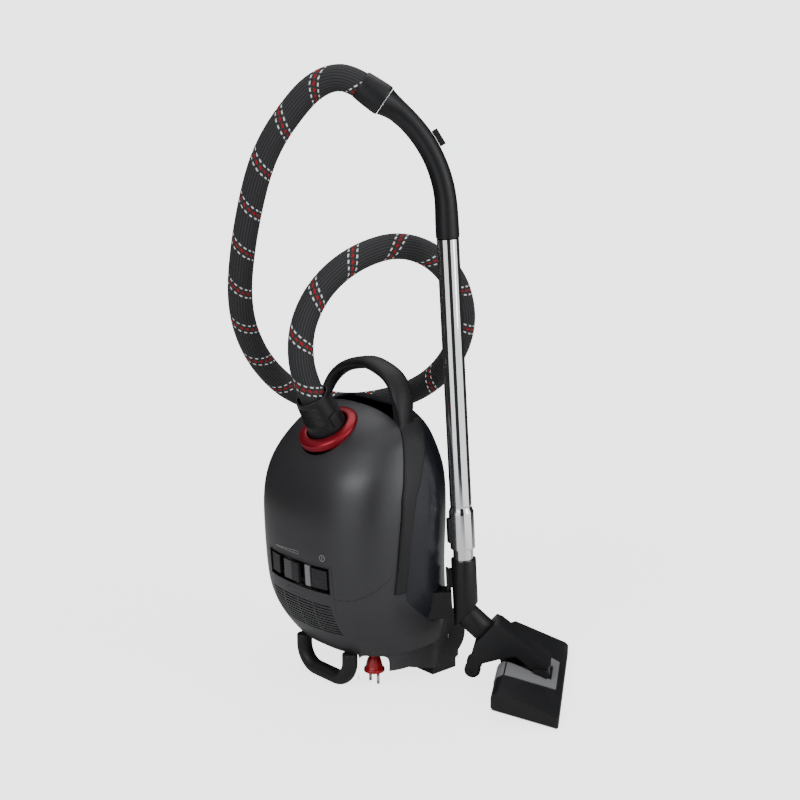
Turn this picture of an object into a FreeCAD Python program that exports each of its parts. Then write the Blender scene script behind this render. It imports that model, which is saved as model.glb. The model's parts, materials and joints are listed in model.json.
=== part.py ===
import FreeCAD, Part
import math
import os

# Canister vacuum cleaner standing upright on its tail, with its wand parked at the rear right corner.
# +Z is up, the deck with the hose inlet faces -Y, the underside with the wheels faces +Y.
# Pieces are laid out from the casing's mid plane, and saved with the origin moved to the middle of the
# tail handle's stand face. All sizes are in millimetres.

os.makedirs("parts", exist_ok=True)
V = FreeCAD.Vector

# ---- driving dimensions -------------------------------------------------------------------------
BODY_WIDTH = 308.0          # casing, side to side
BODY_TOP = 456.0            # height of the nose when the cleaner stands on its tail
TAIL_Z = 62.0               # height of the casing's closed tail plate
DECK_DEPTH = 119.0          # from the mid plane to the deck's crest
BACK_DEPTH = 128.0          # from the mid plane to the underside
WALL = 2.6                  # moulded casing wall
SEAM = 0.5                  # gap between a moving cover and the casing
RUN = 0.05                  # radial clearance of a turning or sliding fit
GAP = 0.4                   # clearance between neighbouring bodies
LAP = 0.01                  # neighbouring mouldings share this much of a layer

RAIL_WIDTH = 20.0           # side rails, across
RAIL_PROUD = 5.0            # how far the rails stand off the casing
ARCH_TOP = 512.0            # centre line of the carrying arch
ARCH_THICK = 20.0
ARCH_DEEP = 40.0

PANEL_HALF = 78.0           # half width of the control strip
PANEL_FLARE = 6.0           # the strip is this much wider at the tail
PANEL_TOP = 222.0
PANEL_LOW = 173.0
GRILLE_TOP = 156.0
GRILLE_ROWS = 11
GRILLE_PITCH = 5.0
GRILLE_SLOT = 2.4
LID_LOW = 170.0             # lower seam of the deck lid
LID_CORNER_X = 94.0         # where its rounded lower corners begin
LID_CORNER_WIDE = 54.0
LID_CORNER_HIGH = 58.0

RING_Z = 416.0              # centre of the inlet ring
RING_TILT = 30.0            # its axis leans this far from vertical, towards the deck
RING_R = 50.0
SOCKET_R = 31.0             # outside of the inlet socket
SOCKET_WALL = 3.0
CUFF_R = 32.5
CUFF_TOP_R = 27.0
CUFF_LENGTH = 66.0
HOSE_R = 20.0

WHEEL_R = 40.0
WHEEL_WIDTH = 20.0
WHEEL_X = 84.0
AXLE_R = 4.0
AXLE_Y = 118.0
AXLE_Z = 58.0
FENDER_R = 37.0
CASTER_Z = 335.0
CASTER_R = 13.0

HANDLE_HALF = 70.0          # tail handle, half width
HANDLE_BAR = 24.0           # height of its bar
HANDLE_BEND_R = 34.0        # bend of its middle line at the corners
HANDLE_Y = -55.0            # its mid plane
HANDLE_THICK = 26.0

PARK_X = 173.5              # foot of the parked wand's axis
PARK_Y = 100.1
PARK_TURN = 48.0            # its plane, turned from +X
PARK_LEAN = 3.2             # the wand leans this far towards the casing
TUBE_R = 17.0               # outer telescopic tube
TUBE_WALL = 0.9
INNER_WALL = 1.0
SLEEVE_R = 20.0
SLEEVE_TOP = 214.0
SLEEVE_LOW = 122.0          # where the sleeve's axis meets the elbow's
FLARE_R = 19.75
FLARE_LOW = 232.0
FLARE_HIGH = 300.0
TUBE_TOP = 722.0
INNER_TOP = 600.0
HANDLE_BEND = 200.0         # bend radius of the hand grip
HANDLE_TURN = 52.0
GRIP_R = 17.5
COLLAR_R = 24.0
COLLAR_LENGTH = 44.0
HOOK_WIDTH = 22.0

NOZZLE_TURN = 9.5           # the nozzle is swung this far out of the wand's plane
NOZZLE_LENGTH = 300.0
NOZZLE_REAR = 54.0          # distances from the elbow, along the nozzle's own plane
NOZZLE_FRONT = 158.0
NOZZLE_LIFT = 25.0          # the parked nozzle's rear edge is this far off the floor
NOZZLE_REAR_T = 34.0
NOZZLE_FRONT_T = 22.0
PIVOT_R = 6.0

MOTOR_R = 50.0
MOTOR_X = -45.0
MOTOR_Y = 12.0
REEL_R = 56.0
REEL_X = 66.0
REEL_WIDTH = 40.0
REEL_Y = 25.0
REEL_Z = 152.0

# ---- small tools --------------------------------------------------------------------------------


def box(x0, x1, y0, y1, z0, z1):
    return Part.makeBox(x1 - x0, y1 - y0, z1 - z0, V(x0, y0, z0))


def rod(radius, length, base, axis=(0, 0, 1)):
    return Part.makeCylinder(radius, length, V(*base), V(*axis))


def pipe(outer, inner, length, base, axis=(0, 0, 1)):
    return rod(outer, length, base, axis).cut(rod(inner, length, base, axis))


def cone(r0, r1, length, base, axis=(0, 0, 1)):
    return Part.makeCone(r0, r1, length, V(*base), V(*axis))


def prism(points, axis, low, high):
    """A flat outline of (a, b) points, extruded along axis from low to high."""
    order = {"x": lambda a, b: V(low, a, b), "y": lambda a, b: V(a, low, b), "z": lambda a, b: V(a, b, low)}
    corners = [order[axis](a, b) for a, b in points]
    face = Part.Face(Part.makePolygon(corners + corners[:1]))
    step = {"x": V(high - low, 0, 0), "y": V(0, high - low, 0), "z": V(0, 0, high - low)}
    return face.extrude(step[axis])


def soften(shape, radius, test):
    """Round the edges whose middle point passes the test."""
    chosen = [e for e in shape.Edges if test(e.CenterOfMass)]
    return shape.makeFillet(radius, chosen) if chosen else shape


def rounded(shape, radius):
    return shape.makeFillet(radius, shape.Edges)


def one(shape):
    solids = shape.Solids
    return max(solids, key=lambda s: s.Volume)


SAVED = {}
ORIGIN = V(0, HANDLE_Y, 0)     # the stand face, seen from the casing's mid plane


def save(name, shape):
    """Write one sub-part, a single solid or a compound of separate solids."""
    solids = shape.Solids
    result = solids[0] if len(solids) == 1 else Part.makeCompound(solids)
    assert result.isValid() and result.Volume > 0, name
    SAVED[name] = result
    moved = result.copy()
    moved.translate(ORIGIN * -1)
    moved.exportStep(os.path.join("parts", name + ".step"))
    return result


# ---- the casing's outer surface -----------------------------------------------------------------
# Each station: share of the height, then shares of half width, deck depth and back depth.
STATIONS = [
    (0.136, 0.78, 0.53, 1.12),
    (0.176, 0.83, 0.66, 1.13),
    (0.220, 0.875, 0.78, 1.12),
    (0.310, 0.94, 0.93, 1.06),
    (0.420, 0.970, 0.985, 1.01),
    (0.560, 0.995, 1.000, 1.00),
    (0.680, 0.995, 0.980, 1.00),
    (0.783, 0.950, 0.850, 0.97),
    (0.868, 0.845, 0.605, 0.88),
    (0.912, 0.765, 0.420, 0.81),
    (0.952, 0.640, 0.195, 0.71),
    (0.981, 0.480, -0.020, 0.60),
    (0.995, 0.320, -0.140, 0.48),
]
SQUARENESS = 2.5            # exponent of the rounded-box cross-section
SECTION_POINTS = 24


def station(z):
    """Half width, deck y and back y at height z: straight between stations, eased by their slopes."""
    share = z / BODY_TOP
    rows = STATIONS
    share = min(max(share, rows[0][0]), rows[-1][0])
    k = max(i for i in range(len(rows) - 1) if rows[i][0] <= share)
    span = rows[k + 1][0] - rows[k][0]
    t = (share - rows[k][0]) / span
    values = []
    for c in (1, 2, 3):
        def slope(i):
            low, high = max(i - 1, 0), min(i + 1, len(rows) - 1)
            return (rows[high][c] - rows[low][c]) / (rows[high][0] - rows[low][0])
        h00, h10 = 2 * t ** 3 - 3 * t ** 2 + 1, t ** 3 - 2 * t ** 2 + t
        h01, h11 = 3 * t ** 2 - 2 * t ** 3, t ** 3 - t ** 2
        value = h00 * rows[k][c] + h10 * span * slope(k) + h01 * rows[k + 1][c] + h11 * span * slope(k + 1)
        values.append(value)
    return values[0] * BODY_WIDTH / 2, -values[1] * DECK_DEPTH, values[2] * BACK_DEPTH


def half_width(z):
    return station(z)[0]


def deck_y(z):
    return station(z)[1]


def back_y(z):
    return station(z)[2]


def section(z, inset):
    """Closed rounded-box wire round the casing at height z, moved inwards by inset."""
    half, deck, back = station(z)
    half, deep, middle = half - inset, (back - deck) / 2 - inset, (back + deck) / 2
    power = 2 / SQUARENESS
    points = []
    for i in range(SECTION_POINTS):
        turn = math.radians((i + 0.5) * 360 / SECTION_POINTS)
        c, s = math.cos(turn), math.sin(turn)
        points.append(V(half * math.copysign(abs(c) ** power, c), middle + deep * math.copysign(abs(s) ** power, s), z))
    curve = Part.BSplineCurve()
    curve.interpolate(Points=points, PeriodicFlag=True, Parameters=list(range(SECTION_POINTS + 1)))
    return Part.Wire(curve.toShape())


def casing(inset, low=TAIL_Z, lift=0.0):
    """The casing as a full solid, shrunk by inset, its top lowered by lift."""
    heights = [low] + [row[0] * BODY_TOP for row in STATIONS if low + 8 < row[0] * BODY_TOP]
    wires = [section(z, inset) for z in heights]
    if lift:
        for wire, z in zip(wires, heights):
            wire.translate(V(0, 0, -lift * max(0.0, (z - low) / (BODY_TOP - low)) ** 6))
    return Part.makeLoft(wires, True, False)


OUTER = casing(0.0)
INNER = casing(WALL, TAIL_Z + WALL, WALL)
LINING = casing(WALL + GAP, TAIL_Z + WALL + GAP, WALL + GAP)
SHELL = OUTER.cut(INNER)

# The line along which the side rails run, seen from the side: (y, z), tail to nose.
RAIL_LINE = [(-27, 178), (-25, 210), (-22, 270), (-16, 330), (-4, 370), (10, 405), (26, 440), (45, 470)]


RAIL_SPREAD = (0, 0, 0, 6, 16, 24, 28, 28)      # how much further back the rail reaches, point by point


def rail_leaf(front, rear):
    line = [(y + front, z) for y, z in RAIL_LINE]
    back = [(y + rear + more, z) for (y, z), more in zip(RAIL_LINE, RAIL_SPREAD)]
    return prism(line + back[::-1], "x", -BODY_WIDTH, BODY_WIDTH)


def rail_band(shift_low, shift_high):
    left = [(y + shift_low, z) for y, z in RAIL_LINE]
    right = [(y + shift_high, z) for y, z in reversed(RAIL_LINE)]
    return prism(left + right, "x", -BODY_WIDTH, BODY_WIDTH)


FAR = 400.0
HALF_RAIL = RAIL_WIDTH / 2


# The pan's lower edge from the rail to the underside: (y, z, share of the shift that it takes in y).
PAN_EDGE = [(-21, 166, 1), (-8, 153, 1), (8, 139, 1), (26, 125, 1), (48, 112, 0.6), (76, 102, 0.2), (107, 97, 0),
            (FAR, 92, 0)]


def behind_rail(shift):
    line = [(y + shift, z) for y, z in RAIL_LINE]
    lower = [(y + shift * lean, z - shift / 2) for y, z, lean in PAN_EDGE]
    return prism(lower[::-1] + line + [(60 + shift, 560), (FAR, 560)], "x", -BODY_WIDTH, BODY_WIDTH)


def before_rail(shift):
    line = [(y - shift, z) for y, z in RAIL_LINE]
    return prism([(-FAR, 100)] + [(line[0][0], 100)] + line + [(60 - shift, 560), (-FAR, 560)], "x",
                 -BODY_WIDTH, BODY_WIDTH)


# ---- the deck lid and the hose inlet --------------------------------------------------------------
TILT = math.radians(RING_TILT)
RING_AXIS = V(0, -math.sin(TILT), math.cos(TILT))
RING_MID = V(0, deck_y(RING_Z) + 3.0, RING_Z + 3.0)


def along_ring(distance):
    return RING_MID + RING_AXIS * distance


def ring_rod(radius, low, high):
    return Part.makeCylinder(radius, high - low, along_ring(low), RING_AXIS)


def strip_half(z):
    """Half width of the control strip, which widens towards the tail."""
    return PANEL_HALF + PANEL_FLARE * (PANEL_TOP - z) / (PANEL_TOP - TAIL_Z)


def lid_outline(grow):
    low, top = LID_LOW - grow, PANEL_TOP + SEAM - grow
    high_side, low_side = strip_half(top) + SEAM - grow, strip_half(low) + SEAM - grow
    wide = BODY_WIDTH
    bend = [math.radians(a) for a in range(10, 91, 10)]
    corner = [(LID_CORNER_X + LID_CORNER_WIDE * math.sin(a), low + LID_CORNER_HIGH * (1 - math.cos(a))) for a in bend]
    right = [(high_side, top), (low_side, low), (LID_CORNER_X, low)] + corner + [(wide, low + 75), (wide, 600)]
    return prism(right + [(-x, z) for x, z in reversed(right)], "y", -FAR, FAR)


LID_BACK = 12.0
lid_zone = lid_outline(0).common(before_rail(HALF_RAIL + SEAM)).common(box(-FAR, FAR, -FAR, LID_BACK, 0, FAR * 2))
lid_space = lid_outline(SEAM).common(before_rail(HALF_RAIL)).common(box(-FAR, FAR, -FAR, LID_BACK + SEAM, 0, 800))
deck_lid = one(SHELL.common(lid_zone).cut(ring_rod(RING_R + 0.1, -60, 60)))
save("deck_lid", deck_lid)

ring = ring_rod(RING_R, -20, 7).cut(ring_rod(SOCKET_R + 3.2, -1, 8)).cut(ring_rod(SOCKET_R, -21, 0))
ring = soften(ring, 2.4, lambda c: abs((c - along_ring(7)).dot(RING_AXIS)) < 0.1)
save("inlet_ring", ring)
socket = ring_rod(SOCKET_R, -46, -1).cut(ring_rod(SOCKET_R - SOCKET_WALL, -47, 0))
save("inlet_socket", socket)
save("lid_seal", ring_rod(SOCKET_R + 9, -52, -46).cut(ring_rod(SOCKET_R - SOCKET_WALL, -53, -45)))

NECK_R = SOCKET_R - SOCKET_WALL - RUN
cuff = ring_rod(NECK_R, -40, 0.6).fuse(Part.makeCone(CUFF_R, CUFF_TOP_R, CUFF_LENGTH, along_ring(0.6), RING_AXIS))
cuff = cuff.cut(ring_rod(NECK_R - 3, -41, 20)).cut(ring_rod(HOSE_R + RUN, 19, CUFF_LENGTH + 2)).removeSplitter()
SIDE = V(1, 0, 0)
FACE = RING_AXIS.cross(SIDE)


def cuff_box(side_low, side_high, face_half, low, high):
    block = Part.makeBox(side_high - side_low, 2 * face_half, high - low)
    turn = FreeCAD.Rotation(SIDE, FACE, RING_AXIS, "ZXY")
    place = FreeCAD.Placement(along_ring(low) + SIDE * side_low - FACE * face_half, turn)
    block.Placement = place
    return block


LATCH_HALF = 7.0
LATCH_DEEP = 4.2
latch_low, latch_high = 12.0, 34.0
latches = []
for sign in (-1, 1):
    reach = CUFF_R - (CUFF_R - CUFF_TOP_R) * latch_low / CUFF_LENGTH + 1.4
    low, high = sorted((sign * (reach - LATCH_DEEP - 1.8), sign * (reach + 3)))
    cuff = cuff.cut(cuff_box(low, high, LATCH_HALF + 0.3, latch_low - 0.3, latch_high + 0.3))
    low, high = sorted((sign * (reach - LATCH_DEEP), sign * reach))
    latches.append(rounded(cuff_box(low, high, LATCH_HALF, latch_low, latch_high), 1.0))
save("hose_cuff", one(cuff))
save("cuff_latch_left", latches[0])
save("cuff_latch_right", latches[1])

# ---- pan, rails, arch and tail ---------------------------------------------------------------------
pan_zone = behind_rail(HALF_RAIL - LAP).cut(lid_space)
pan = SHELL.common(pan_zone)

ARCH_HALF = half_width(448) + 21
arch_points = [(ARCH_HALF + 8, 10, 405), (ARCH_HALF + 4, 18, 428), (ARCH_HALF, 26, 450), (ARCH_HALF - 10, 33, 475),
               (ARCH_HALF - 32, 38, ARCH_TOP - 16), (ARCH_HALF - 70, 42, ARCH_TOP - 3)]
path = [V(x, y, z) for x, y, z in arch_points] + [V(0, 43, ARCH_TOP)]
path += [V(-p.x, p.y, p.z) for p in reversed(path[:-1])]
spine = Part.BSplineCurve()
spine.interpolate(path)
spine_wire = Part.Wire(spine.toShape())
start = path[0]
tangent = spine.tangent(spine.FirstParameter)[0]
across = tangent.cross(V(0, 1, 0)).normalize()
depth_dir = across.cross(tangent).normalize()
ellipse = Part.Ellipse(start + depth_dir * ARCH_DEEP / 2, start + across * ARCH_THICK / 2, start)
sweep = Part.BRepOffsetAPI.MakePipeShell(spine_wire)
sweep.setBiNormalMode(V(0, 1, 0.35).normalize())
sweep.add(Part.Wire(ellipse.toShape()), False, False)
sweep.build()
sweep.makeSolid()
arch = sweep.shape()
proud = casing(-RAIL_PROUD, TAIL_Z)
rails = proud.cut(INNER).common(rail_leaf(-HALF_RAIL, HALF_RAIL - LAP)).common(box(-FAR, FAR, -FAR, FAR, 170, 436))
rails = rails.common(box(-FAR, -60, -FAR, FAR, 0, 600)).fuse(rails.common(box(60, FAR, -FAR, FAR, 0, 600)))
arch = arch.fuse(rails).cut(INNER).cut(lid_zone)
arch = one(arch)
save("arch_handle", arch)

pan = one(pan.cut(rail_band(-HALF_RAIL, HALF_RAIL - LAP).common(box(-FAR, FAR, -FAR, FAR, 100, 436))).cut(arch))


def strip_outline(grow):
    top, low = PANEL_TOP + grow, TAIL_Z - 1
    return prism([(-strip_half(top) - grow, top), (strip_half(top) + grow, top), (strip_half(low) + grow, low),
                  (-strip_half(low) - grow, low)], "y", -FAR, 0)


strip_zone = strip_outline(0)
strip_room = strip_outline(SEAM / 2)
tail = SHELL.cut(behind_rail(HALF_RAIL - 2 * LAP - SEAM / 2)).cut(lid_space).cut(strip_room).cut(arch)
tail = tail.common(box(-FAR, FAR, -FAR, FAR, 0, LID_LOW + 80))
skirt_wires = [section(TAIL_Z + 8, 0), section(TAIL_Z, 1.5), section(TAIL_Z, 4), section(TAIL_Z, 6)]
for wire, z in zip(skirt_wires, (TAIL_Z + 8, TAIL_Z, 34, 6)):
    wire.translate(V(0, 0, z - wire.BoundBox.ZMin))
skirt_full = Part.makeLoft(skirt_wires, True, False)
hollow_wires = [section(TAIL_Z, 4.5), section(TAIL_Z, 7), section(TAIL_Z, 9)]
for wire, z in zip(hollow_wires, (TAIL_Z - LAP, 34, 5)):
    wire.translate(V(0, 0, z - wire.BoundBox.ZMin))
skirt = skirt_full.cut(Part.makeLoft(hollow_wires, True, False)).common(box(-FAR, FAR, -FAR, FAR, 0, TAIL_Z))
skirt_edge = prism([(-FAR, 0), (-60, 12), (-20, 33), (20, 34), (70, 18), (100, 6), (FAR, 6), (FAR, 200), (-FAR, 200)],
                   "x", -FAR, FAR)
skirt = skirt.common(skirt_edge).cut(box(-HANDLE_HALF - 0.2, HANDLE_HALF + 0.2, -FAR, 0, 0, TAIL_Z))
plate = casing(0.5, TAIL_Z).common(box(-FAR, FAR, -FAR, FAR, TAIL_Z, TAIL_Z + WALL))
plate = plate.cut(strip_zone)


def wheel_span(side, low, high):
    """X range at the given distances from the wheel's middle, outwards, on one side."""
    return sorted((side * (WHEEL_X + low), side * (WHEEL_X + high)))


def wheel_housing(side, radius):
    low, high = wheel_span(side, -WHEEL_WIDTH / 2 - 5, WHEEL_WIDTH / 2 + 12)
    return rod(radius, high - low, (low, AXLE_Y, AXLE_Z), (1, 0, 0))


def fender(side):
    """Wheel arch: a guard round the wheel, open at the underside, on a foot that stands on the floor."""
    low, high = wheel_span(side, WHEEL_WIDTH / 2 + 2, WHEEL_WIDTH / 2 + 12)
    disc = rod(FENDER_R, high - low, (low, AXLE_Y, AXLE_Z), (1, 0, 0))
    guard = wheel_housing(side, WHEEL_R + 5).common(box(-FAR, FAR, -FAR, AXLE_Y + 22, 0, FAR))
    low, high = wheel_span(side, -WHEEL_WIDTH / 2 - 5, WHEEL_WIDTH / 2 + 12)
    foot = box(low, high, AXLE_Y - 36, AXLE_Y + 16, 0, AXLE_Z)
    room = rod(WHEEL_R + 2, WHEEL_WIDTH + 4, (side * WHEEL_X - WHEEL_WIDTH / 2 - 2, AXLE_Y, AXLE_Z), (1, 0, 0))
    return disc.fuse([guard, foot]).cut(room)


axle_hole = rod(AXLE_R, 2 * FAR, (-FAR, AXLE_Y, AXLE_Z), (1, 0, 0))
tail = tail.fuse([skirt, plate]).cut(wheel_housing(-1, WHEEL_R + 4)).cut(wheel_housing(1, WHEEL_R + 4))
tail = tail.fuse([fender(-1), fender(1)]).cut(axle_hole)
PLUG_X = 68.0
PLUG_Y = -12.0
tail = tail.cut(rod(11, 20, (PLUG_X, PLUG_Y, TAIL_Z - 8)))
stem_hole = rod(5.4, 30, (0, back_y(CASTER_Z) - 20, CASTER_Z), (0, 1, 0))
pan = pan.cut(stem_hole).cut(wheel_housing(-1, WHEEL_R + 5)).cut(wheel_housing(1, WHEEL_R + 5))
tail = one(tail)

# ---- control strip with the panel and the exhaust grille --------------------------------------------
strip = SHELL.common(strip_zone)
panel_floor = 5.0
recess = OUTER.common(box(-PANEL_HALF + 4, PANEL_HALF - 4, -FAR, 0, PANEL_LOW + 3, PANEL_TOP - 3))
tray = recess.common(casing(panel_floor)).cut(casing(panel_floor + 2))
strip = strip.cut(recess).fuse(tray)
for row in range(GRILLE_ROWS):
    z = GRILLE_TOP - row * GRILLE_PITCH
    half = PANEL_HALF - 5 + 0.08 * (GRILLE_TOP - z)
    for column in range(4):
        low = -half + column * half / 2
        strip = strip.cut(box(low + 1.2, low + half / 2 - 1.2, -FAR, 0, z - GRILLE_SLOT, z))
hatch_hole = box(-22, 22, -FAR, 0, PANEL_LOW - 12, PANEL_LOW - 3)
strip = strip.cut(hatch_hole)
strip = one(strip)
hatch = OUTER.cut(casing(3.2)).common(box(-22 + GAP, 22 - GAP, -FAR, 0, PANEL_LOW - 12 + GAP, PANEL_LOW - 3 - GAP))



def panel_piece(x0, x1, z0, z1, sink, depth):
    piece = casing(sink).cut(casing(depth)).common(box(x0, x1, -FAR, 0, z0, z1))
    return one(piece)


slider = panel_piece(-28, 10, PANEL_LOW + 9, PANEL_TOP - 9, -0.5, panel_floor - 1.6)
power_button = panel_piece(38, 68, PANEL_LOW + 9, PANEL_TOP - 9, 1.6, panel_floor + 1.2)
rewind_button = panel_piece(-70, -44, PANEL_LOW + 9, PANEL_TOP - 9, 1.6, panel_floor + 1.2)
save("power_slider", slider)
save("power_button", power_button)
save("rewind_button", rewind_button)
save("filter_latch", one(hatch))
for piece in (box(38 - 0.4, 68.4, -FAR, 0, PANEL_LOW + 8.6, PANEL_TOP - 8.6),
              box(-70.4, -43.6, -FAR, 0, PANEL_LOW + 8.6, PANEL_TOP - 8.6)):
    strip = strip.cut(piece)
save("control_strip", one(strip))

# ---- tail handle, which is also the front foot ------------------------------------------------------
handle_x, handle_z = HANDLE_HALF - HANDLE_BAR / 2, HANDLE_BAR / 2 - 1
low_bend, side_bend = HANDLE_BEND_R * (1 - math.sqrt(0.5)), HANDLE_BEND_R
bar_line = [Part.LineSegment(V(-handle_x, HANDLE_Y, TAIL_Z - SEAM), V(-handle_x, HANDLE_Y, handle_z + side_bend)).toShape(),
            Part.Arc(V(-handle_x, HANDLE_Y, handle_z + side_bend), V(-handle_x + low_bend, HANDLE_Y, handle_z + low_bend),
                     V(-handle_x + side_bend, HANDLE_Y, handle_z)).toShape(),
            Part.LineSegment(V(-handle_x + side_bend, HANDLE_Y, handle_z), V(handle_x - side_bend, HANDLE_Y, handle_z)).toShape(),
            Part.Arc(V(handle_x - side_bend, HANDLE_Y, handle_z), V(handle_x - low_bend, HANDLE_Y, handle_z + low_bend),
                     V(handle_x, HANDLE_Y, handle_z + side_bend)).toShape(),
            Part.LineSegment(V(handle_x, HANDLE_Y, handle_z + side_bend), V(handle_x, HANDLE_Y, TAIL_Z - SEAM)).toShape()]
bar_ends = Part.Ellipse(V(-handle_x, HANDLE_Y + HANDLE_THICK / 2, TAIL_Z - SEAM),
                        V(-handle_x + HANDLE_BAR / 2, HANDLE_Y, TAIL_Z - SEAM), V(-handle_x, HANDLE_Y, TAIL_Z - SEAM))
loop = Part.Wire(bar_line).makePipeShell([Part.Wire(bar_ends.toShape())], True, False)
loop = one(loop.common(box(-FAR, FAR, -FAR, FAR, 0, TAIL_Z)))
save("tail_handle", loop)
save("tail_housing", one(tail.cut(loop)))
save("lower_pan", one(pan.cut(SAVED["tail_housing"])))

# ---- wheels -----------------------------------------------------------------------------------------
for side, name in ((-1, "left"), (1, "right")):
    x = side * WHEEL_X - WHEEL_WIDTH / 2
    wheel = rod(WHEEL_R, WHEEL_WIDTH, (x, AXLE_Y, AXLE_Z), (1, 0, 0))
    wheel = soften(wheel, 3.0, lambda c: True)
    face = x - 1 if side < 0 else x + WHEEL_WIDTH - 5
    wheel = wheel.cut(pipe(WHEEL_R - 8, 13, 6, (face, AXLE_Y, AXLE_Z), (1, 0, 0)))
    wheel = wheel.cut(rod(AXLE_R + RUN, WHEEL_WIDTH + 2, (x - 1, AXLE_Y, AXLE_Z), (1, 0, 0)))
    save("rear_wheel_" + name, wheel)
    low = side * (WHEEL_X + WHEEL_WIDTH / 2 + 11) if side < 0 else WHEEL_X - WHEEL_WIDTH / 2 - 6
    save("wheel_axle_" + name, rod(AXLE_R, WHEEL_WIDTH + 17, (low, AXLE_Y, AXLE_Z), (1, 0, 0)))

CASTER_Y = back_y(CASTER_Z)
STEM_R = 5.0
caster_seat = rod(20, 8, (0, CASTER_Y - 6, CASTER_Z), (0, 1, 0)).cut(rod(STEM_R + RUN, 20, (0, CASTER_Y - 10, CASTER_Z),
                                                                        (0, 1, 0)))
save("caster_seat", caster_seat.cut(SHELL))
TRAIL = 9.0
caster_y = CASTER_Y + 2 + GAP
fork = rod(18, 3, (0, caster_y, CASTER_Z), (0, 1, 0)).fuse(rod(STEM_R, 12, (0, caster_y - 9, CASTER_Z), (0, 1, 0)))
for side in (-1, 1):
    fork = fork.fuse(box(side * 9 - 1.5, side * 9 + 1.5, caster_y + 1, caster_y + 17, CASTER_Z - TRAIL - 7,
                         CASTER_Z - TRAIL + 7))
CASTER_AXLE_Y = caster_y + 3 + CASTER_R + 0.8 - 4
fork = fork.cut(rod(CASTER_R + 1, 15, (-7.5, CASTER_AXLE_Y, CASTER_Z - TRAIL), (1, 0, 0)))
fork = fork.fuse(rod(2.5, 20, (-10, CASTER_AXLE_Y, CASTER_Z - TRAIL), (1, 0, 0)))
save("caster_fork", fork)
caster = soften(rod(CASTER_R, 13, (-6.5, CASTER_AXLE_Y, CASTER_Z - TRAIL), (1, 0, 0)), 3.0, lambda c: True)
save("caster_wheel", caster.cut(rod(2.5 + RUN, 20, (-10, CASTER_AXLE_Y, CASTER_Z - TRAIL), (1, 0, 0))))

# ---- inside the casing --------------------------------------------------------------------------------
BULKHEAD_Z = 228.0
bulkhead = LINING.common(box(-FAR, FAR, -FAR, FAR, BULKHEAD_Z, BULKHEAD_Z + 3))
bulkhead = bulkhead.cut(rod(34, 8, (MOTOR_X, MOTOR_Y, BULKHEAD_Z - 2)))
save("motor_bulkhead", one(bulkhead))

FLOOR_Z = TAIL_Z + WALL
motor_z = FLOOR_Z + 34
MOTOR_LENGTH = 74.0
SHAFT_R = 4.0
mount = pipe(MOTOR_R - 4, MOTOR_R - 12, motor_z - FLOOR_Z, (MOTOR_X, MOTOR_Y, FLOOR_Z))
save("motor_mount", mount)
can = pipe(MOTOR_R, MOTOR_R - 3, MOTOR_LENGTH, (MOTOR_X, MOTOR_Y, motor_z))
for z in (motor_z, motor_z + MOTOR_LENGTH - 4):
    can = can.fuse(pipe(MOTOR_R - 1, SHAFT_R + RUN, 4, (MOTOR_X, MOTOR_Y, z)))
save("motor_body", can)
rotor = rod(30, MOTOR_LENGTH - 20, (MOTOR_X, MOTOR_Y, motor_z + 10))
rotor = rotor.fuse(rod(SHAFT_R, MOTOR_LENGTH + 24, (MOTOR_X, MOTOR_Y, motor_z - 2)))
save("motor_rotor", rotor)
fan_z = motor_z + MOTOR_LENGTH + 5
fan = rod(42, 2, (MOTOR_X, MOTOR_Y, fan_z)).fuse(rod(9, 13, (MOTOR_X, MOTOR_Y, fan_z)))
for k in range(9):
    blade = box(10, 40, -1, 1, fan_z + 1, fan_z + 11)
    blade.rotate(V(20, 0, 0), V(0, 0, 1), 28)
    blade.translate(V(MOTOR_X, MOTOR_Y, 0))
    blade.rotate(V(MOTOR_X, MOTOR_Y, 0), V(0, 0, 1), k * 40)
    fan = fan.fuse(blade)
save("fan_impeller", fan.cut(rod(SHAFT_R, 20, (MOTOR_X, MOTOR_Y, fan_z - 2))))
cover = pipe(MOTOR_R, MOTOR_R - 2.5, BULKHEAD_Z - fan_z + 5, (MOTOR_X, MOTOR_Y, fan_z - 5))
cover = cover.fuse(pipe(MOTOR_R - 1, 22, 2.5, (MOTOR_X, MOTOR_Y, BULKHEAD_Z - 2.5)))
save("fan_cover", cover)
save("motor_filter", box(MOTOR_X - 45, MOTOR_X + 45, MOTOR_Y - 40, MOTOR_Y + 40, BULKHEAD_Z + 3, BULKHEAD_Z + 13))
save("exhaust_filter", box(-60, 60, deck_y(104) + 10, deck_y(104) + 34, 104, 152))
save("control_board", box(-68, 66, deck_y(200) + 18, deck_y(200) + 19.6, 178, 216))

bag = box(-105, 105, -62, 88, BULKHEAD_Z + 22, BULKHEAD_Z + 132)
save("dust_bag", one(rounded(bag, 24).cut(ring_rod(SOCKET_R + 20, -58, 60))))
collar = ring_rod(SOCKET_R + 16, -57, -54).cut(ring_rod(SOCKET_R - 4, -58, -53))
save("bag_collar", collar)

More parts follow.
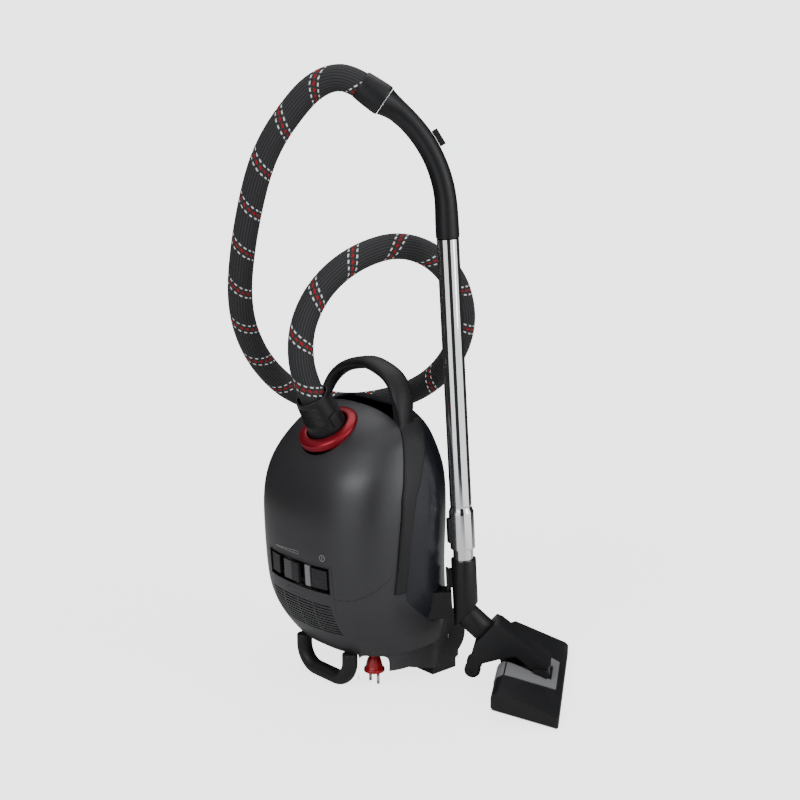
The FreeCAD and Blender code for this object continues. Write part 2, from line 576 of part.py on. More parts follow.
AXLE_PIN_R = 6.0
drum_x = REEL_X
reel_mid = (drum_x, REEL_Y, REEL_Z)
drum = rod(26, REEL_WIDTH, reel_mid, (1, 0, 0))
for x in (drum_x, drum_x + REEL_WIDTH - 2):
    drum = drum.fuse(rod(REEL_R, 2, (x, REEL_Y, REEL_Z), (1, 0, 0)))
save("cord_reel", drum.cut(rod(AXLE_PIN_R + RUN, REEL_WIDTH + 2, (drum_x - 1, REEL_Y, REEL_Z), (1, 0, 0))))
save("cord_winding", pipe(REEL_R - 8, 26, REEL_WIDTH - 4, (drum_x + 2, REEL_Y, REEL_Z), (1, 0, 0)))
bracket = box(drum_x - 8, drum_x - 5, REEL_Y - 22, REEL_Y + 30, FLOOR_Z, BULKHEAD_Z)
pin = rod(AXLE_PIN_R, REEL_WIDTH + 5, (drum_x - 5, REEL_Y, REEL_Z), (1, 0, 0))
spacer = rod(10, 5 - GAP, (drum_x - 5, REEL_Y, REEL_Z), (1, 0, 0))
save("reel_bracket", bracket.fuse(pin).fuse(spacer))

plug_body = cone(10.0, 15.0, 20, (PLUG_X, PLUG_Y, 26 + 22), (0, 0, -1)).fuse(rod(17, 6, (PLUG_X, PLUG_Y, 22)))
plug_body = plug_body.fuse(rod(7, 14, (PLUG_X, PLUG_Y, 46)))
save("mains_plug", plug_body)
pins = [rod(2.4, 19, (PLUG_X + dx, PLUG_Y, 3)) for dx in (-9.5, 9.5)]
save("plug_pins", Part.makeCompound(pins))
save("cord_guide", pipe(13, 5, 6, (PLUG_X, PLUG_Y, TAIL_Z + WALL)))

# ---- the parked wand, in its own upright frame --------------------------------------------------------
PARKED = FreeCAD.Placement(V(PARK_X, PARK_Y, 0), FreeCAD.Rotation(V(0, 0, 1), PARK_TURN)).multiply(
    FreeCAD.Placement(V(0, 0, 0), FreeCAD.Rotation(V(0, 1, 0), -PARK_LEAN)))


def parked(shape):
    shape = shape.copy()
    shape.Placement = PARKED.multiply(shape.Placement)
    return shape


INNER_R = TUBE_R - TUBE_WALL - RUN
ELBOW_TILT = 45.0
elbow_level = math.cos(math.radians(ELBOW_TILT))
elbow_axis = V(elbow_level * math.cos(math.radians(NOZZLE_TURN)), -elbow_level * math.sin(math.radians(NOZZLE_TURN)),
               -math.sin(math.radians(ELBOW_TILT)))
elbow_mid = V(0, 0, SLEEVE_LOW)
half_space = Part.makeBox(400, 400, 200, V(-200, -200, 0))
half_space.Placement = FreeCAD.Placement(elbow_mid, FreeCAD.Rotation(V(0, 0, 1), elbow_axis))
sleeve = rod(SLEEVE_R, SLEEVE_TOP - SLEEVE_LOW + 30, (0, 0, SLEEVE_LOW - 30)).cut(half_space)
seat_low = SLEEVE_LOW + 30
sleeve = sleeve.cut(rod(INNER_R, 100, (0, 0, seat_low)))
bore_r = 13.0
swivel_r = 16.0
sleeve = sleeve.cut(rod(bore_r, 60, (0, 0, seat_low - 20)))
swivel_hole = Part.makeCylinder(swivel_r + RUN, 13, elbow_mid - elbow_axis * 13, elbow_axis)
hook_x = -SLEEVE_R - 9.0
HOOK_LOW = 126.0
HOOK_HIGH = 198.0
hook = box(hook_x, hook_x + 4, -HOOK_WIDTH / 2, HOOK_WIDTH / 2, HOOK_LOW, HOOK_HIGH)
web = box(hook_x + 3, -SLEEVE_R + 4, -5, 5, HOOK_HIGH - 30, HOOK_HIGH)
sleeve = sleeve.cut(swivel_hole).fuse(hook).fuse(web.cut(rod(INNER_R, 200, (0, 0, 60))))
sleeve = one(sleeve)
save("wand_sleeve", parked(sleeve))

inner = pipe(INNER_R, INNER_R - INNER_WALL, INNER_TOP - seat_low, (0, 0, seat_low))
save("inner_tube", parked(inner))

profile = [(INNER_R + RUN, FLARE_LOW), (FLARE_R, FLARE_LOW), (FLARE_R, FLARE_HIGH - 7), (TUBE_R, FLARE_HIGH),
           (TUBE_R, TUBE_TOP), (INNER_R + RUN, TUBE_TOP)]


def turned(points):
    corners = [V(radius, 0, z) for radius, z in points]
    return Part.Face(Part.makePolygon(corners + corners[:1])).revolve(V(0, 0, 0), V(0, 0, 1), 360)


outer = turned(profile)
KEY_TURN = 200.0
key_hole = box(FLARE_R - 3.0, FLARE_R + 8, -5.4, 5.4, FLARE_LOW + 11.6, FLARE_LOW + 52.4)
key_hole.rotate(V(0, 0, 0), V(0, 0, 1), KEY_TURN)
save("outer_tube", parked(one(outer.cut(key_hole))))
key = box(FLARE_R - 1.2, FLARE_R + 5, -5, 5, FLARE_LOW + 12, FLARE_LOW + 52)
key = soften(key, 2.0, lambda c: c.x > FLARE_R + 4)
key.rotate(V(0, 0, 0), V(0, 0, 1), KEY_TURN)
save("lock_key", parked(key))

# hand grip: a straight socket, a bend towards the casing, a collar with a swivelling hose end
grip_base = TUBE_TOP + 2.0
bend_low = 768.0
turn = math.radians(HANDLE_TURN)
bend_end = V(-HANDLE_BEND * (1 - math.cos(turn)), 0, bend_low + HANDLE_BEND * math.sin(turn))
grip_dir = V(-math.sin(turn), 0, math.cos(turn))
GRIP_WALL = 2.4


def bend_point(angle):
    return V(-HANDLE_BEND * (1 - math.cos(angle)), 0, bend_low + HANDLE_BEND * math.sin(angle))


def grip_tube(radius):
    tail_end = bend_end + grip_dir * 34
    edges = [Part.LineSegment(V(0, 0, grip_base), V(0, 0, bend_low)).toShape(),
             Part.Arc(V(0, 0, bend_low), bend_point(turn / 2), bend_end).toShape(),
             Part.LineSegment(bend_end, tail_end).toShape()]
    ring_wire = Part.Wire(Part.Circle(V(0, 0, grip_base), V(0, 0, 1), radius).toShape())
    return Part.Wire(edges).makePipeShell([ring_wire], True, False)


grip = grip_tube(GRIP_R).fuse(rod(TUBE_R + 3, 34, (0, 0, grip_base - 26)))
grip = grip.cut(grip_tube(GRIP_R - GRIP_WALL)).cut(rod(TUBE_R, 26, (0, 0, grip_base - 28)))
grip = grip.cut(rod(GRIP_R - GRIP_WALL, 40, (0, 0, grip_base - 3)))
collar_low = bend_end + grip_dir * 10
grip = grip.fuse(Part.makeCylinder(COLLAR_R - 3.4, 24, collar_low, grip_dir))
bore = Part.makeCylinder(GRIP_R - GRIP_WALL, 80, bend_end, grip_dir)
grip = grip.cut(bore)
save("hand_grip", parked(one(grip)))
slider_mid = bend_point(turn * 0.55)
slider_out = V(math.cos(turn * 0.55), 0, math.sin(turn * 0.55))
slider_along = V(-math.sin(turn * 0.55), 0, math.cos(turn * 0.55))
vent = Part.makeBox(11, 14, 26, V(-5.5, -7, -13))
vent = rounded(vent, 1.5)
vent.Placement = FreeCAD.Placement(slider_mid + slider_out * (GRIP_R + 3.2 + GAP), FreeCAD.Rotation(
    V(0, 0, 1), slider_along))
vent = vent.common(Part.makeCylinder(GRIP_R + 8, 60, slider_mid - slider_along * 30, slider_along).cut(
    grip_tube(GRIP_R + GAP)))
save("vent_slider", parked(one(vent)))
swivel = Part.makeCylinder(COLLAR_R, COLLAR_LENGTH, collar_low + grip_dir * -2, grip_dir)
swivel = swivel.cut(Part.makeCylinder(COLLAR_R - 3.4 + RUN, 26.4, collar_low - grip_dir * 2, grip_dir))
swivel = swivel.cut(Part.makeCylinder(HOSE_R + RUN, 60, collar_low + grip_dir * 30, grip_dir))
swivel = swivel.cut(Part.makeCylinder(GRIP_R - GRIP_WALL, 90, collar_low - grip_dir * 8, grip_dir))
save("grip_collar", parked(one(swivel)))

# ---- elbow, neck and floor nozzle --------------------------------------------------------------------
# The elbow is drawn in the wand's frame, the neck and the nozzle in an upright frame under the elbow's middle,
# whose x axis runs the way the elbow points.
ELBOW_LENGTH = 40.0
elbow = Part.makeCylinder(SLEEVE_R, ELBOW_LENGTH, elbow_mid + elbow_axis * GAP, elbow_axis)
elbow = elbow.fuse(Part.makeCylinder(swivel_r, 12 + GAP, elbow_mid - elbow_axis * 12, elbow_axis))
elbow = elbow.cut(Part.makeCylinder(bore_r, ELBOW_LENGTH + 40, elbow_mid - elbow_axis * 13, elbow_axis))
save("elbow", parked(one(elbow)))


elbow_world = PARKED.multVec(elbow_mid)
elbow_down = PARKED.Rotation.multVec(elbow_axis)
UPRIGHT = FreeCAD.Placement(V(elbow_world.x, elbow_world.y, 0),
                            FreeCAD.Rotation(V(0, 0, 1), math.degrees(math.atan2(elbow_down.y, elbow_down.x))))


def upright(shape):
    shape = shape.copy()
    shape.Placement = UPRIGHT.multiply(shape.Placement)
    return shape


elbow_foot = V(0, 0, elbow_world.z)
elbow_dir = V(math.hypot(elbow_down.x, elbow_down.y), 0, elbow_down.z)
neck_top = elbow_foot + elbow_dir * (ELBOW_LENGTH + GAP)

PLANE_Y = 0.0               # the nozzle's middle
PIVOT_X = 122.0
PIVOT_Z = 34.0
BARREL_R = 14.0
NECK_HALF = 26.0
pivot = V(PIVOT_X, PLANE_Y, PIVOT_Z)
ROLLER_R = 13.0
roller_mid = (neck_top.x - 17, 34.0)
neck_outline = [(neck_top.x + 10, neck_top.z + 22), (neck_top.x + 26, neck_top.z + 16), (PIVOT_X + 15, PIVOT_Z + 17),
                (PIVOT_X + 9, PIVOT_Z + 10), (PIVOT_X - 12, PIVOT_Z + 7), (PIVOT_X - 40, PIVOT_Z + 30),
                (PIVOT_X - 62, PIVOT_Z + 24), (roller_mid[0] + 11, roller_mid[1] + 12),
                (roller_mid[0] + 9, roller_mid[1] - 3), (roller_mid[0], roller_mid[1] - 8),
                (roller_mid[0] - 9, roller_mid[1]), (neck_top.x - 14, neck_top.z - 14)]
neck = prism(neck_outline, "y", PLANE_Y - NECK_HALF, PLANE_Y + NECK_HALF)
neck = neck.cut(Part.makeCylinder(60, 60, elbow_foot + elbow_dir * (ELBOW_LENGTH + GAP - 60), elbow_dir))
barrel = rod(BARREL_R, 2 * NECK_HALF, (PIVOT_X, PLANE_Y - NECK_HALF, PIVOT_Z), (0, 1, 0))
trunnion = rod(PIVOT_R, 2 * NECK_HALF + 12, (PIVOT_X, PLANE_Y - NECK_HALF - 6, PIVOT_Z), (0, 1, 0))
neck = neck.fuse(barrel).fuse(trunnion)
neck = neck.cut(Part.makeCylinder(bore_r, 40, elbow_foot + elbow_dir * ELBOW_LENGTH, elbow_dir))
duct_start = elbow_foot + elbow_dir * (ELBOW_LENGTH + 24)
duct_dir = pivot - duct_start
neck = neck.cut(Part.makeCylinder(bore_r - 3, duct_dir.Length + 30, duct_start, duct_dir))
roller_slot = rod(ROLLER_R + 1, 11, (roller_mid[0], PLANE_Y - NECK_HALF + 4.5, roller_mid[1]), (0, 1, 0))
other_slot = rod(ROLLER_R + 1, 11, (roller_mid[0], PLANE_Y + NECK_HALF - 15.5, roller_mid[1]), (0, 1, 0))
ROLLER_PIN_R = 2.5
pin_hole = rod(ROLLER_PIN_R + RUN, 2 * NECK_HALF + 2, (roller_mid[0], PLANE_Y - NECK_HALF - 1, roller_mid[1]), (0, 1, 0))
neck = one(neck.cut(roller_slot).cut(other_slot).cut(pin_hole))
save("neck", upright(neck))
rollers = rod(ROLLER_PIN_R, 2 * NECK_HALF - 1, (roller_mid[0], PLANE_Y - NECK_HALF + 0.5, roller_mid[1]), (0, 1, 0))
for y in (PLANE_Y - NECK_HALF + 5.5, PLANE_Y + NECK_HALF - 14.5):
    rollers = rollers.fuse(rod(ROLLER_R, 9, (roller_mid[0], y, roller_mid[1]), (0, 1, 0)))
save("neck_rollers", upright(rollers))

# nozzle: its sole slopes from the lifted rear edge down to the front edge on the floor
DEPTH = NOZZLE_FRONT - NOZZLE_REAR
slope = NOZZLE_LIFT / DEPTH
HALF_LONG = NOZZLE_LENGTH / 2


def sole_z(x, height=0.0):
    """Height above the floor of the sole's line at x, raised by height."""
    return (NOZZLE_FRONT - x) * slope + height


SOLE_T = 3.0
body_outline = [(NOZZLE_REAR, sole_z(NOZZLE_REAR, SOLE_T)), (NOZZLE_FRONT, sole_z(NOZZLE_FRONT, SOLE_T)),
                (NOZZLE_FRONT, sole_z(NOZZLE_FRONT, NOZZLE_FRONT_T - 4)), (NOZZLE_FRONT - 5, NOZZLE_FRONT_T),
                (NOZZLE_REAR + 14, NOZZLE_LIFT + NOZZLE_REAR_T - 4), (NOZZLE_REAR + 4, NOZZLE_LIFT + NOZZLE_REAR_T - 8),
                (NOZZLE_REAR, NOZZLE_LIFT + NOZZLE_REAR_T - 16)]
hull = prism(body_outline, "y", PLANE_Y - HALF_LONG, PLANE_Y + HALF_LONG)
hull = soften(hull, 9.0, lambda c: abs(abs(c.y - PLANE_Y) - HALF_LONG) < 0.1 and c.x < NOZZLE_REAR + 1)
hull = soften(hull, 5.0, lambda c: abs(abs(c.y - PLANE_Y) - HALF_LONG) < 20 and c.x > NOZZLE_FRONT - 1)
for side in (-1, 1):
    y = PLANE_Y + side * (NECK_HALF + 4)
    hull = hull.fuse(box(PIVOT_X - 11, PIVOT_X + 11, y - 3, y + 3, sole_z(PIVOT_X, 8), PIVOT_Z + 11))
hull = hull.cut(rod(BARREL_R + GAP, 2 * NECK_HALF + 1, (PIVOT_X, PLANE_Y - NECK_HALF - 0.5, PIVOT_Z), (0, 1, 0)))
hull = hull.cut(rod(PIVOT_R + RUN, 2 * NECK_HALF + 20, (PIVOT_X, PLANE_Y - NECK_HALF - 10, PIVOT_Z), (0, 1, 0)))
hull = hull.cut(box(PIVOT_X - 74, PIVOT_X + 17, PLANE_Y - NECK_HALF - 0.5, PLANE_Y + NECK_HALF + 0.5, 29, 90))
chamber_x = PIVOT_X - 6
chamber = box(chamber_x - 12, chamber_x + 12, PLANE_Y - HALF_LONG + 16, PLANE_Y + HALF_LONG - 16, -5,
              sole_z(chamber_x, SOLE_T + 4))
throat = box(chamber_x - 12, chamber_x + 12, PLANE_Y - 17, PLANE_Y + 17, -5, PIVOT_Z)
hull = hull.cut(chamber).cut(throat)
BRUSH_DEEP = 9.0
brush_x = (NOZZLE_REAR + 20, NOZZLE_FRONT - 15)


def brush_box(x, grow, low, high):
    slab = prism([(x - 3 - grow, sole_z(x - 3 - grow, low)), (x + 3 + grow, sole_z(x + 3 + grow, low)),
                  (x + 3 + grow, sole_z(x + 3 + grow, high)), (x - 3 - grow, sole_z(x - 3 - grow, high))], "y",
                 PLANE_Y - HALF_LONG + 18 - grow, PLANE_Y + HALF_LONG - 18 + grow)
    return slab


sole_plate = prism([(NOZZLE_REAR + 2, sole_z(NOZZLE_REAR + 2)), (NOZZLE_FRONT - 2, sole_z(NOZZLE_FRONT - 2)),
                    (NOZZLE_FRONT - 2, sole_z(NOZZLE_FRONT - 2, SOLE_T)),
                    (NOZZLE_REAR + 2, sole_z(NOZZLE_REAR + 2, SOLE_T))], "y", PLANE_Y - HALF_LONG + 4,
                   PLANE_Y + HALF_LONG - 4).cut(chamber)
brushes = []
for x in brush_x:
    hull = hull.cut(brush_box(x, GAP, -5, SOLE_T + BRUSH_DEEP))
    sole_plate = sole_plate.cut(brush_box(x, GAP, -5, SOLE_T + 1))
    brushes.append(brush_box(x, 0, 1.0, SOLE_T + BRUSH_DEEP - 5.5))
PEDAL_Y = 52.0
PEDAL_HALF = 15.0
PEDAL_PIN_R = 2.5
pedal_x = NOZZLE_REAR + 44
pedal_z = sole_z(pedal_x, 24.0)
pedal_mid = PLANE_Y + PEDAL_Y
hull = hull.cut(box(pedal_x - 24, pedal_x + 17, pedal_mid - PEDAL_HALF - 1, pedal_mid + PEDAL_HALF + 1,
                    pedal_z - 10, 90))
pedal_pin = rod(PEDAL_PIN_R, 2 * PEDAL_HALF + 8, (pedal_x, pedal_mid - PEDAL_HALF - 4, pedal_z), (0, 1, 0))
save("pedal_pin", upright(pedal_pin))
hull = one(hull.cut(pedal_pin))
save("nozzle_body", upright(hull))
save("sole_plate", upright(one(sole_plate)))
save("brush_strips", upright(Part.makeCompound(brushes)))
pedal = prism([(pedal_x - 14, pedal_z + 2), (pedal_x, pedal_z - 5), (pedal_x + 12, pedal_z - 1),
               (pedal_x + 13, pedal_z + 4), (pedal_x - 4, pedal_z + 10), (pedal_x - 22, pedal_z + 34),
               (pedal_x - 27, pedal_z + 33)], "y", pedal_mid - PEDAL_HALF, pedal_mid + PEDAL_HALF)
pedal = pedal.cut(rod(PEDAL_PIN_R + RUN, 60, (pedal_x, pedal_mid - 30, pedal_z), (0, 1, 0)))
save("pedal", upright(one(pedal)))
top_slope = (NOZZLE_LIFT + NOZZLE_REAR_T - 4 - NOZZLE_FRONT_T) / (DEPTH - 19)


def top_z(x, height=0.0):
    return NOZZLE_FRONT_T + (NOZZLE_FRONT - 5 - x) * top_slope + height


cover = prism([(NOZZLE_REAR + 15, top_z(NOZZLE_REAR + 15)), (NOZZLE_FRONT - 22, top_z(NOZZLE_FRONT - 22)),
               (NOZZLE_FRONT - 22, top_z(NOZZLE_FRONT - 22, 2)), (NOZZLE_REAR + 15, top_z(NOZZLE_REAR + 15, 2))],
              "y", PLANE_Y - HALF_LONG + 34, PLANE_Y + HALF_LONG - 24)
cover = cover.cut(box(PIVOT_X - 70, PIVOT_X + 18, PLANE_Y - NECK_HALF - 8, PLANE_Y + NECK_HALF + 8, 0, 90))
cover = cover.cut(box(pedal_x - 18, pedal_x + 18, pedal_mid - PEDAL_HALF - 2, pedal_mid + PEDAL_HALF + 2, 0, 90))
save("nozzle_cover", upright(one(cover)))

# ---- parking socket on the pan ------------------------------------------------------------------------
socket_low, socket_high = HOOK_LOW - 6, HOOK_HIGH - 34
block = box(hook_x - 60, hook_x + 4 + GAP + 3, -HOOK_WIDTH / 2 - 5, HOOK_WIDTH / 2 + 5, socket_low, socket_high)
block = block.cut(box(hook_x - GAP, hook_x + 4 + GAP, -HOOK_WIDTH / 2 - GAP, HOOK_WIDTH / 2 + GAP, HOOK_LOW - GAP, 300))
block = parked(block).cut(OUTER).cut(casing(-0.01)).cut(SAVED["arch_handle"])
save("park_socket", one(block))

# ---- fasteners ------------------------------------------------------------------------------------------
screws = []
for x, y in ((-60, 70), (60, 70), (-30, 92), (30, 92)):
    screws.append(rod(3.5, 2.4, (x, y, TAIL_Z - 2.4 - LAP)))
save("tail_screws", Part.makeCompound(screws))

# ---- the hose: from the cuff, over the nose, behind the casing, up the left side to the grip ----------
HOSE_ROUTE = [(-3, -45, 562), (-1, -37, 612), (12, -11, 658), (32, 35, 692), (54, 95, 708),
              (74, 155, 692), (82, 207, 642), (68, 241, 572), (26, 257, 504), (-36, 255, 446),
              (-104, 227, 412), (-168, 171, 404), (-208, 99, 430), (-218, 41, 482),
              (-209, -3, 544), (-188, -35, 612), (-158, -51, 684), (-124, -59, 756),
              (-88, -61, 824), (-58, -53, 874), (-26, -35, 919), (-4, -19, 947), (20, -2, 962)]


def hose(points, radius):
    """A tube of straight runs and tangent arcs through the points; prints each bend radius."""
    runs = [(b - a) for a, b in zip(points, points[1:])]
    edges, here, radii = [], points[0], []
    for k in range(1, len(points) - 1):
        before, after = runs[k - 1], runs[k]
        angle = before.getAngle(after)
        cut = 0.45 * min(before.Length, after.Length)
        radii.append(cut / math.tan(angle / 2))
        enter = points[k] - V(before).normalize() * cut
        leave = points[k] + V(after).normalize() * cut
        centre_way = (V(after).normalize() - V(before).normalize()).normalize()
        centre = points[k] + centre_way * (radii[-1] / math.cos(angle / 2))
        edges.append(Part.LineSegment(here, enter).toShape())
        edges.append(Part.Arc(enter, centre - centre_way * radii[-1], leave).toShape())
        here = leave
    edges.append(Part.LineSegment(here, points[-1]).toShape())
    path = Part.Wire(edges)
    start = Part.Wire(Part.Circle(points[0], points[1] - points[0], radius).toShape())
    print("hose length %.0f, radii %s" % (path.Length, " ".join("%.0f" % r for r in radii)))
    return path.makePipeShell([start], True, False), path.Length


hose_start = along_ring(CUFF_LENGTH - 46)
grip_dir_world = PARKED.Rotation.multVec(grip_dir)
hose_end = PARKED.multVec(collar_low + grip_dir * 30)
route = [hose_start, along_ring(CUFF_LENGTH + 30)] + [V(*p) + ORIGIN for p in HOSE_ROUTE]
route += [hose_end + grip_dir_world * 32, hose_end]
hose_solid, hose_length = hose(route, HOSE_R)
print("volume ratio %.4f" % (hose_solid.Volume / (math.pi * HOSE_R ** 2 * hose_length)))
print("hose ends", [tuple(round(c, 1) for c in p - ORIGIN) for p in route[:2] + route[-2:]])
save("hose", hose_solid)
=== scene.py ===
import json
import math

import bmesh
import bpy
import numpy as np
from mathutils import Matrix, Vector

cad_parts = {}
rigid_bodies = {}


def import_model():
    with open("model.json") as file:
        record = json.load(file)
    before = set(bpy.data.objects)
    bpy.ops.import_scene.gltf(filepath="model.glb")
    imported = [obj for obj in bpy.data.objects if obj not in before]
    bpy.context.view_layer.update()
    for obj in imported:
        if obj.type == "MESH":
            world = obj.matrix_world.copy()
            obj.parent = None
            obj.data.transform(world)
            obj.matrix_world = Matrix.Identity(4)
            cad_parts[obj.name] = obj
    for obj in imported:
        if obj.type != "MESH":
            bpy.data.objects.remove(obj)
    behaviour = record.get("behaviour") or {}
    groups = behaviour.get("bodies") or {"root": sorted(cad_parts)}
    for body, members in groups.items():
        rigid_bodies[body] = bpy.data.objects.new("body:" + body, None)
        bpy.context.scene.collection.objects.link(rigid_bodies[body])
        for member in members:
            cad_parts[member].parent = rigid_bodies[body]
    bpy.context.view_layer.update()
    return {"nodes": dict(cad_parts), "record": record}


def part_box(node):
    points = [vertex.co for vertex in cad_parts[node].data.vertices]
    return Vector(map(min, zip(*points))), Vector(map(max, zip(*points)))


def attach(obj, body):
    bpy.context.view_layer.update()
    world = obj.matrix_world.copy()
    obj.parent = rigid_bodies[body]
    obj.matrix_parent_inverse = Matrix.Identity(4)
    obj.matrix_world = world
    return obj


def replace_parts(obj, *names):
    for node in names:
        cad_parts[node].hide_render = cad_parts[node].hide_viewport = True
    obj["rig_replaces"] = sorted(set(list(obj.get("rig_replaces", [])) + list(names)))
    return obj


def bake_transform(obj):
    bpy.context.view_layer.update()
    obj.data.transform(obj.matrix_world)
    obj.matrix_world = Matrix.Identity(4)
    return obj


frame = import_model()

# ---- camera, floor and light ---------------------------------------------------------------------
# A pale studio floor under a pale sky, a broad lamp over the deck, a tall strip for the tubes,
# and a lens at the height of the deck, a little to the right of the nose.
TARGET = Vector((0.0522, 0.1130, 0.457))
lens = bpy.data.cameras.new("studio_lens")
lens.lens, lens.sensor_width = 68.0, 36.0
camera = bpy.data.objects.new("studio_camera", lens)
bpy.context.scene.collection.objects.link(camera)
azimuth, elevation, distance = math.radians(48.0), math.radians(13.0), 2.4
away = Vector((math.sin(azimuth) * math.cos(elevation), -math.cos(azimuth) * math.cos(elevation),
               math.sin(elevation)))
camera.location = TARGET + away * distance
camera.rotation_euler = (-away).to_track_quat("-Z", "Y").to_euler()
bpy.context.scene.camera = camera


class Wire:
    """A shader socket. Arithmetic and comparisons on it add Math nodes; node() adds any other node."""

    def __init__(self, tree, socket=None):
        self.tree, self.socket = tree, socket

    def node(self, kind, settings=None, inputs=None, out=0):
        """Add a node: settings first, then a value or a link for each input. Returns one of its outputs."""
        made = self.tree.nodes.new(kind)
        for key, value in (settings or {}).items():
            if key == "stops":
                ramp = made.color_ramp
                while len(ramp.elements) < len(value):
                    ramp.elements.new(1.0)
                for stop, (place, colour) in zip(ramp.elements, value):
                    stop.position, stop.color = place, (*colour, 1.0)
            else:
                setattr(made, key, value)
        for key, value in (inputs or {}).items():
            if isinstance(value, Wire):
                self.tree.links.new(value.socket, made.inputs[key])
            else:
                made.inputs[key].default_value = value
        return Wire(self.tree, made.outputs[out])

    def math(self, operation, *values):
        return self.node("ShaderNodeMath", {"operation": operation}, dict(enumerate(values)))

    def __add__(self, other):
        return self.math("ADD", self, other)

    def __sub__(self, other):
        return self.math("SUBTRACT", self, other)

    def __rsub__(self, other):
        return self.math("SUBTRACT", other, self)

    def __mul__(self, other):
        return self.math("MULTIPLY", self, other)

    def __truediv__(self, other):
        return self.math("DIVIDE", self, other)

    def __gt__(self, other):
        return self.math("GREATER_THAN", self, other)

    def __lt__(self, other):
        return self.math("LESS_THAN", self, other)

    def __abs__(self):
        return self.math("ABSOLUTE", self)

    __radd__, __rmul__ = __add__, __mul__

    def fraction(self):
        return self.math("FRACT", self)

    def mix(self, first, second):
        """First colour where this value is 0, second where it is 1."""
        return self.node("ShaderNodeMix", {"data_type": "RGBA"}, {0: self, 6: first, 7: second}, 2)

    def axis(self, letter):
        return self.node("ShaderNodeSeparateXYZ", None, {0: self}, letter)


def finish(name, constants):
    """A new material: its Principled shader with constant values set on the sockets, and a start for its wires."""
    material = bpy.data.materials.new(name)
    material.use_nodes = True
    shader = material.node_tree.nodes["Principled BSDF"]
    for key, value in constants.items():
        shader.inputs[key].default_value = value
    return material, shader, Wire(material.node_tree)


def plug_in(material, shader, **wires):
    """Join wires to the shader's sockets; base_color means Base Color."""
    for key, wire in wires.items():
        material.node_tree.links.new(wire.socket, shader.inputs[key.replace("_", " ").title()])
    return material


def rgb(red, green, blue):
    return (red, green, blue, 1.0)


def shaded(colour, share):
    return tuple(min(1.0, channel * share) for channel in colour[:3]) + (1.0,)


def moulding(name, colour, roughness, metallic=0.0, grain=0.0008, depth=0.00002, cloudy=0.10, coat=0.0):
    """Moulded plastic or metal: a fine grain in the skin, slow clouds in its colour and its gloss."""
    material, shader, start = finish(name, {"Metallic": metallic, "Coat Weight": coat, "Coat Roughness": 0.12,
                                            "Specular IOR Level": 0.5 if metallic else 0.32})
    place = start.node("ShaderNodeTexCoord", out="Object")
    clouds = place.node("ShaderNodeTexNoise", None, {"Vector": place, "Scale": 14.0, "Detail": 3.0})
    skin = place.node("ShaderNodeTexNoise", None, {"Vector": place, "Scale": 1.0 / grain, "Detail": 2.0})
    tint = clouds.mix(shaded(colour, 1 - cloudy), shaded(colour, 1 + cloudy))
    gloss = (clouds - 0.5) * 0.10 + (skin - 0.5) * 0.06 + roughness
    relief = skin.node("ShaderNodeBump", None, {"Height": skin, "Distance": depth, "Strength": 1.0})
    return plug_in(material, shader, base_color=tint, roughness=gloss, normal=relief)


def wear(obj, material):
    """Give a piece its finish."""
    obj.data.materials.clear()
    obj.data.materials.append(material)
    return obj


def paint(material, *nodes):
    """Give CAD nodes that keep their own mesh a finish."""
    for name in nodes:
        data = frame["nodes"][name].data
        data.materials.clear()
        data.materials.append(material)


def from_grid(name, points, around=True, along=False, caps=False):
    """A surface over a grid of points, rows by columns: neighbours join in fours.
    around closes each row on itself, along joins the last row to the first, caps close the two ends with fans."""
    rows, columns = points.shape[:2]
    index = np.arange(rows * columns).reshape(rows, columns)
    down = np.vstack([index, index[:1]]) if along else index
    grid = np.hstack([down, down[:, :1]]) if around else down
    quads = np.stack([grid[:-1, :-1], grid[:-1, 1:], grid[1:, 1:], grid[1:, :-1]], -1).reshape(-1, 4)
    vertices, faces = points.reshape(-1, 3), quads.tolist()
    if caps:
        vertices = np.vstack([vertices, points[0].mean(0), points[-1].mean(0)])
        first, last = index[0], index[-1]
        turned = np.roll(first, -1)
        faces += np.stack([turned, first, np.full(columns, rows * columns)], -1).tolist()
        turned = np.roll(last, -1)
        faces += np.stack([last, turned, np.full(columns, rows * columns + 1)], -1).tolist()
    mesh = bpy.data.meshes.new(name)
    mesh.from_pydata(vertices.tolist(), [], faces)
    mesh.shade_smooth()
    mesh.set_sharp_from_angle(angle=math.radians(40))
    obj = bpy.data.objects.new(name, mesh)
    bpy.context.scene.collection.objects.link(obj)
    return obj


FLOOR_REACH = 1.5
corners = np.stack([*np.meshgrid((-FLOOR_REACH, FLOOR_REACH), (-FLOOR_REACH, FLOOR_REACH)), np.zeros((2, 2))], -1)
floor = from_grid("studio_floor", corners, around=False)
floor_paint, floor_shader, floor_start = finish("pale_floor", {
    "Base Color": rgb(0.60, 0.60, 0.60), "Roughness": 0.7, "Specular IOR Level": 0.2,
    "Emission Color": rgb(1.0, 1.0, 1.0)})
floor_seen = floor_start.node("ShaderNodeLightPath", out="Is Camera Ray")
floor_place = floor_start.node("ShaderNodeTexCoord", out="Object")
from_middle = floor_place.node("ShaderNodeVectorMath", {"operation": "LENGTH"}, {0: floor_place}, "Value")
solid_near = from_middle.node("ShaderNodeMapRange", {"interpolation_type": "SMOOTHSTEP"},
                              {"Value": from_middle, "From Min": FLOOR_REACH - 0.05, "From Max": 0.7})
plug_in(floor_paint, floor_shader, emission_strength=floor_seen * 2.4 + 0.08, alpha=solid_near)
floor.data.materials.append(floor_paint)

